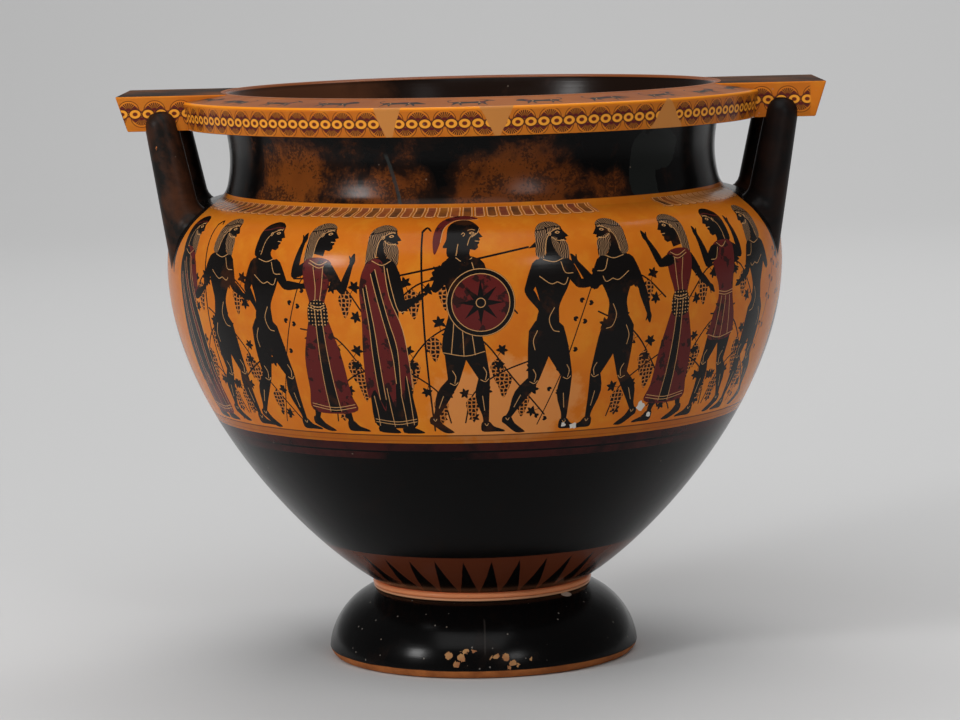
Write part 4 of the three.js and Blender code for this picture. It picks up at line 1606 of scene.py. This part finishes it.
    # gloss: the slip shines; the brim, bare clay under the foot and chips are duller
    dull = kit.most(kit.under(run, end["edge"], 0.001), chip)
    rough = fine * 0.08 + grain * 0.03 + 0.15
    rough = rough + kit.over(thin, 0.6, 0.2) * 0.05
    rough = rough + dull * 0.45 + brim * 0.22 + kit.same(kind, float(PLATE_TOP)) * 0.10
    rough = rough + kit.same(kind, float(COLUMN)) * 0.20
    wheel = kit.noise(kit.place(0.0, 0.0, run * 260.0), 1.0, 2.0)
    relief = kit.node("ShaderNodeBump", None, {
        "Strength": 0.16, "Distance": 0.0006,
        "Height": wheel * 0.6 + fine * 0.5 + grain * 0.05 - chip * 1.2 - crack * 0.8})
    skin = kit.node("ShaderNodeBsdfPrincipled", None, {
        "Base Color": colour, "Roughness": rough, "IOR": 1.5, "Specular IOR Level": 0.095,
        "Normal": relief.outputs[0]})
    done = kit.node("ShaderNodeOutputMaterial")
    kit.tree.links.new(skin.outputs[0], done.inputs["Surface"])
    return kit.material


def smooth_facing(pot, section):
    """Corner normals: the section's own on the wall, and softened edges on the handles."""
    mesh = pot.data
    stretch = read_faces(mesh, "stretch")
    mesh.polygons.foreach_set("use_smooth", np.ones(len(mesh.polygons), bool))
    mesh.set_sharp_from_angle(angle=math.radians(38))
    facing = np.zeros(len(mesh.loops) * 3, np.float32)
    mesh.corner_normals.foreach_get("vector", facing)
    facing = facing.reshape(-1, 3)
    spots = np.zeros(len(mesh.loops) * 2, np.float32)
    mesh.uv_layers["unroll"].uv.foreach_get("vector", spots)
    spots = spots.reshape(-1, 2)
    totals = np.zeros(len(mesh.polygons), np.int32)
    mesh.polygons.foreach_get("loop_total", totals)
    own = np.repeat(stretch, totals)
    for k in range(len(section.names)):
        mine = own == k
        out, rise = section.facing(spots[mine, 1], k)
        angle = spots[mine, 0] * 2 * math.pi
        facing[mine] = np.column_stack([out * np.cos(angle), out * np.sin(angle), rise])
    mesh.normals_split_custom_set([tuple(n) for n in facing])


# ---- stage -------------------------------------------------------------------------------------


def plain_material(name, tint, rough):
    kit = Kit(name)
    skin = kit.node("ShaderNodeBsdfPrincipled", None, {
        "Base Color": (*tint, 1.0), "Roughness": rough, "Specular IOR Level": 0.2})
    done = kit.node("ShaderNodeOutputMaterial")
    kit.tree.links.new(skin.outputs[0], done.inputs["Surface"])
    return kit.material


def sweep(stage):
    """Floor and backdrop in one curved sheet."""
    half, front, back, tall, bend = 14.0, -12.0, 9.5, 9.0, 4.5
    line = [(front, 0.0), (back - bend, 0.0)]
    for i in range(1, 25):
        a = math.pi / 2 * i / 24
        line.append((back - bend + bend * math.sin(a), bend - bend * math.cos(a)))
    line.append((back, tall))
    verts = [(x, y, z) for y, z in line for x in (-half, half)]
    faces = [(2 * i, 2 * i + 1, 2 * i + 3, 2 * i + 2) for i in range(len(line) - 1)]
    mesh = bpy.data.meshes.new("floor")
    mesh.from_pydata(verts, [], faces)
    mesh.polygons.foreach_set("use_smooth", [True] * len(faces))
    made = bpy.data.objects.new("floor", mesh)
    bpy.context.scene.collection.objects.link(made)
    mesh.materials.append(plain_material("floor", tuple(stage.floor), 0.9))
    return made


def soft_light(name, azimuth, elevation, away, size, watts):
    """A square soft box that faces the pot; azimuth 0 is the camera's side, + to its right."""
    lamp = bpy.data.lights.new(name, "AREA")
    lamp.shape, lamp.size, lamp.energy = "SQUARE", size, watts
    made = bpy.data.objects.new(name, lamp)
    a, e = math.radians(azimuth), math.radians(elevation)
    back = Vector((math.sin(a) * math.cos(e), -math.cos(a) * math.cos(e), math.sin(e)))
    made.location = Vector((0, 0, 0.3)) + back * away
    made.rotation_mode = "QUATERNION"
    made.rotation_quaternion = (-back).to_track_quat("-Z", "Y")
    bpy.context.scene.collection.objects.link(made)
    return made


def camera_at(stage):
    lens = bpy.data.cameras.new("camera")
    lens.lens, lens.sensor_width = stage.lens, 36.0
    lens.clip_end = 60.0
    made = bpy.data.objects.new("camera", lens)
    made.matrix_world = (
        Matrix.Translation((0.0028, -stage.distance, stage.eye))
        @ Matrix.Rotation(math.radians(90 - 6.86), 4, "X")
        @ Matrix.Rotation(math.radians(-1.34), 4, "Z")
    )
    bpy.context.scene.collection.objects.link(made)
    bpy.context.scene.camera = made
    return made


# ---- add-on ------------------------------------------------------------------------------------


class KRATER_OT_pot(bpy.types.Operator):
    """Turns the pot, cuts its picture, joins its handles and glazes it"""

    bl_idname = "krater.pot"
    bl_label = "Pot"

    def execute(self, context):
        shape = context.scene.krater_shape
        section = pot_section(shape)
        finish = paint_material(section, context.scene.krater_paint)
        pot = pot_body(section, shape)
        parts = [handle_plate(shape, 1), handle_plate(shape, -1)]
        parts.append(handle_columns(section, shape, finish))
        fuse(pot, parts)
        pot.data.materials.clear()
        pot.data.materials.append(finish)
        smooth_facing(pot, section)
        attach(pot, "root")
        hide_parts("krater")
        return {"FINISHED"}


class KRATER_OT_stage(bpy.types.Operator):
    """Sets a pale floor with a plain backdrop, soft light and the camera"""

    bl_idname = "krater.stage"
    bl_label = "Stage"

    def execute(self, context):
        stage = context.scene.krater_stage
        sweep(stage)
        soft_light("window_left", -53, 18, 3.6, 0.62, stage.key * 0.72)
        soft_light("window_right", 24, 17, 3.6, 0.50, stage.key * 0.21)
        soft_light("overhead", -12, 56, 3.6, 3.2, stage.key * 1.1)
        behind = soft_light("backdrop", 166, 62, 6.6, 5.0, stage.key * 5.5)
        behind.rotation_quaternion = Vector((0, -0.55, 1)).to_track_quat("Z", "Y")
        camera_at(stage)
        world = bpy.data.worlds.new("room")
        world.use_nodes = True
        world.node_tree.nodes["Background"].inputs[0].default_value = (1.0, 1.0, 1.0, 1.0)
        world.node_tree.nodes["Background"].inputs[1].default_value = 0.16
        context.scene.world = world
        context.scene.view_settings.view_transform = "Standard"
        return {"FINISHED"}


class KRATER_PT_panel(bpy.types.Panel):
    bl_label = "Column Krater"
    bl_idname = "KRATER_PT_panel"
    bl_space_type = "VIEW_3D"
    bl_region_type = "UI"
    bl_category = "Krater"

    def draw(self, context):
        for group in ("krater_shape", "krater_paint", "krater_stage"):
            box = self.layout.box()
            held = getattr(context.scene, group)
            for name in type(held).__annotations__:
                box.prop(held, name)
        for operator in (KRATER_OT_pot, KRATER_OT_stage):
            self.layout.operator(operator.bl_idname)


CLASSES = (
    KraterShape, KraterPaint, KraterStage, KRATER_OT_pot, KRATER_OT_stage, KRATER_PT_panel
)


def register():
    for held in CLASSES:
        bpy.utils.register_class(held)
    bpy.types.Scene.krater_shape = PointerProperty(type=KraterShape)
    bpy.types.Scene.krater_paint = PointerProperty(type=KraterPaint)
    bpy.types.Scene.krater_stage = PointerProperty(type=KraterStage)


def unregister():
    del bpy.types.Scene.krater_stage, bpy.types.Scene.krater_paint, bpy.types.Scene.krater_shape
    for held in reversed(CLASSES):
        bpy.utils.unregister_class(held)


def main():
    register()
    bpy.ops.krater.pot()
    bpy.ops.krater.stage()


if __name__ == "__main__":
    main()
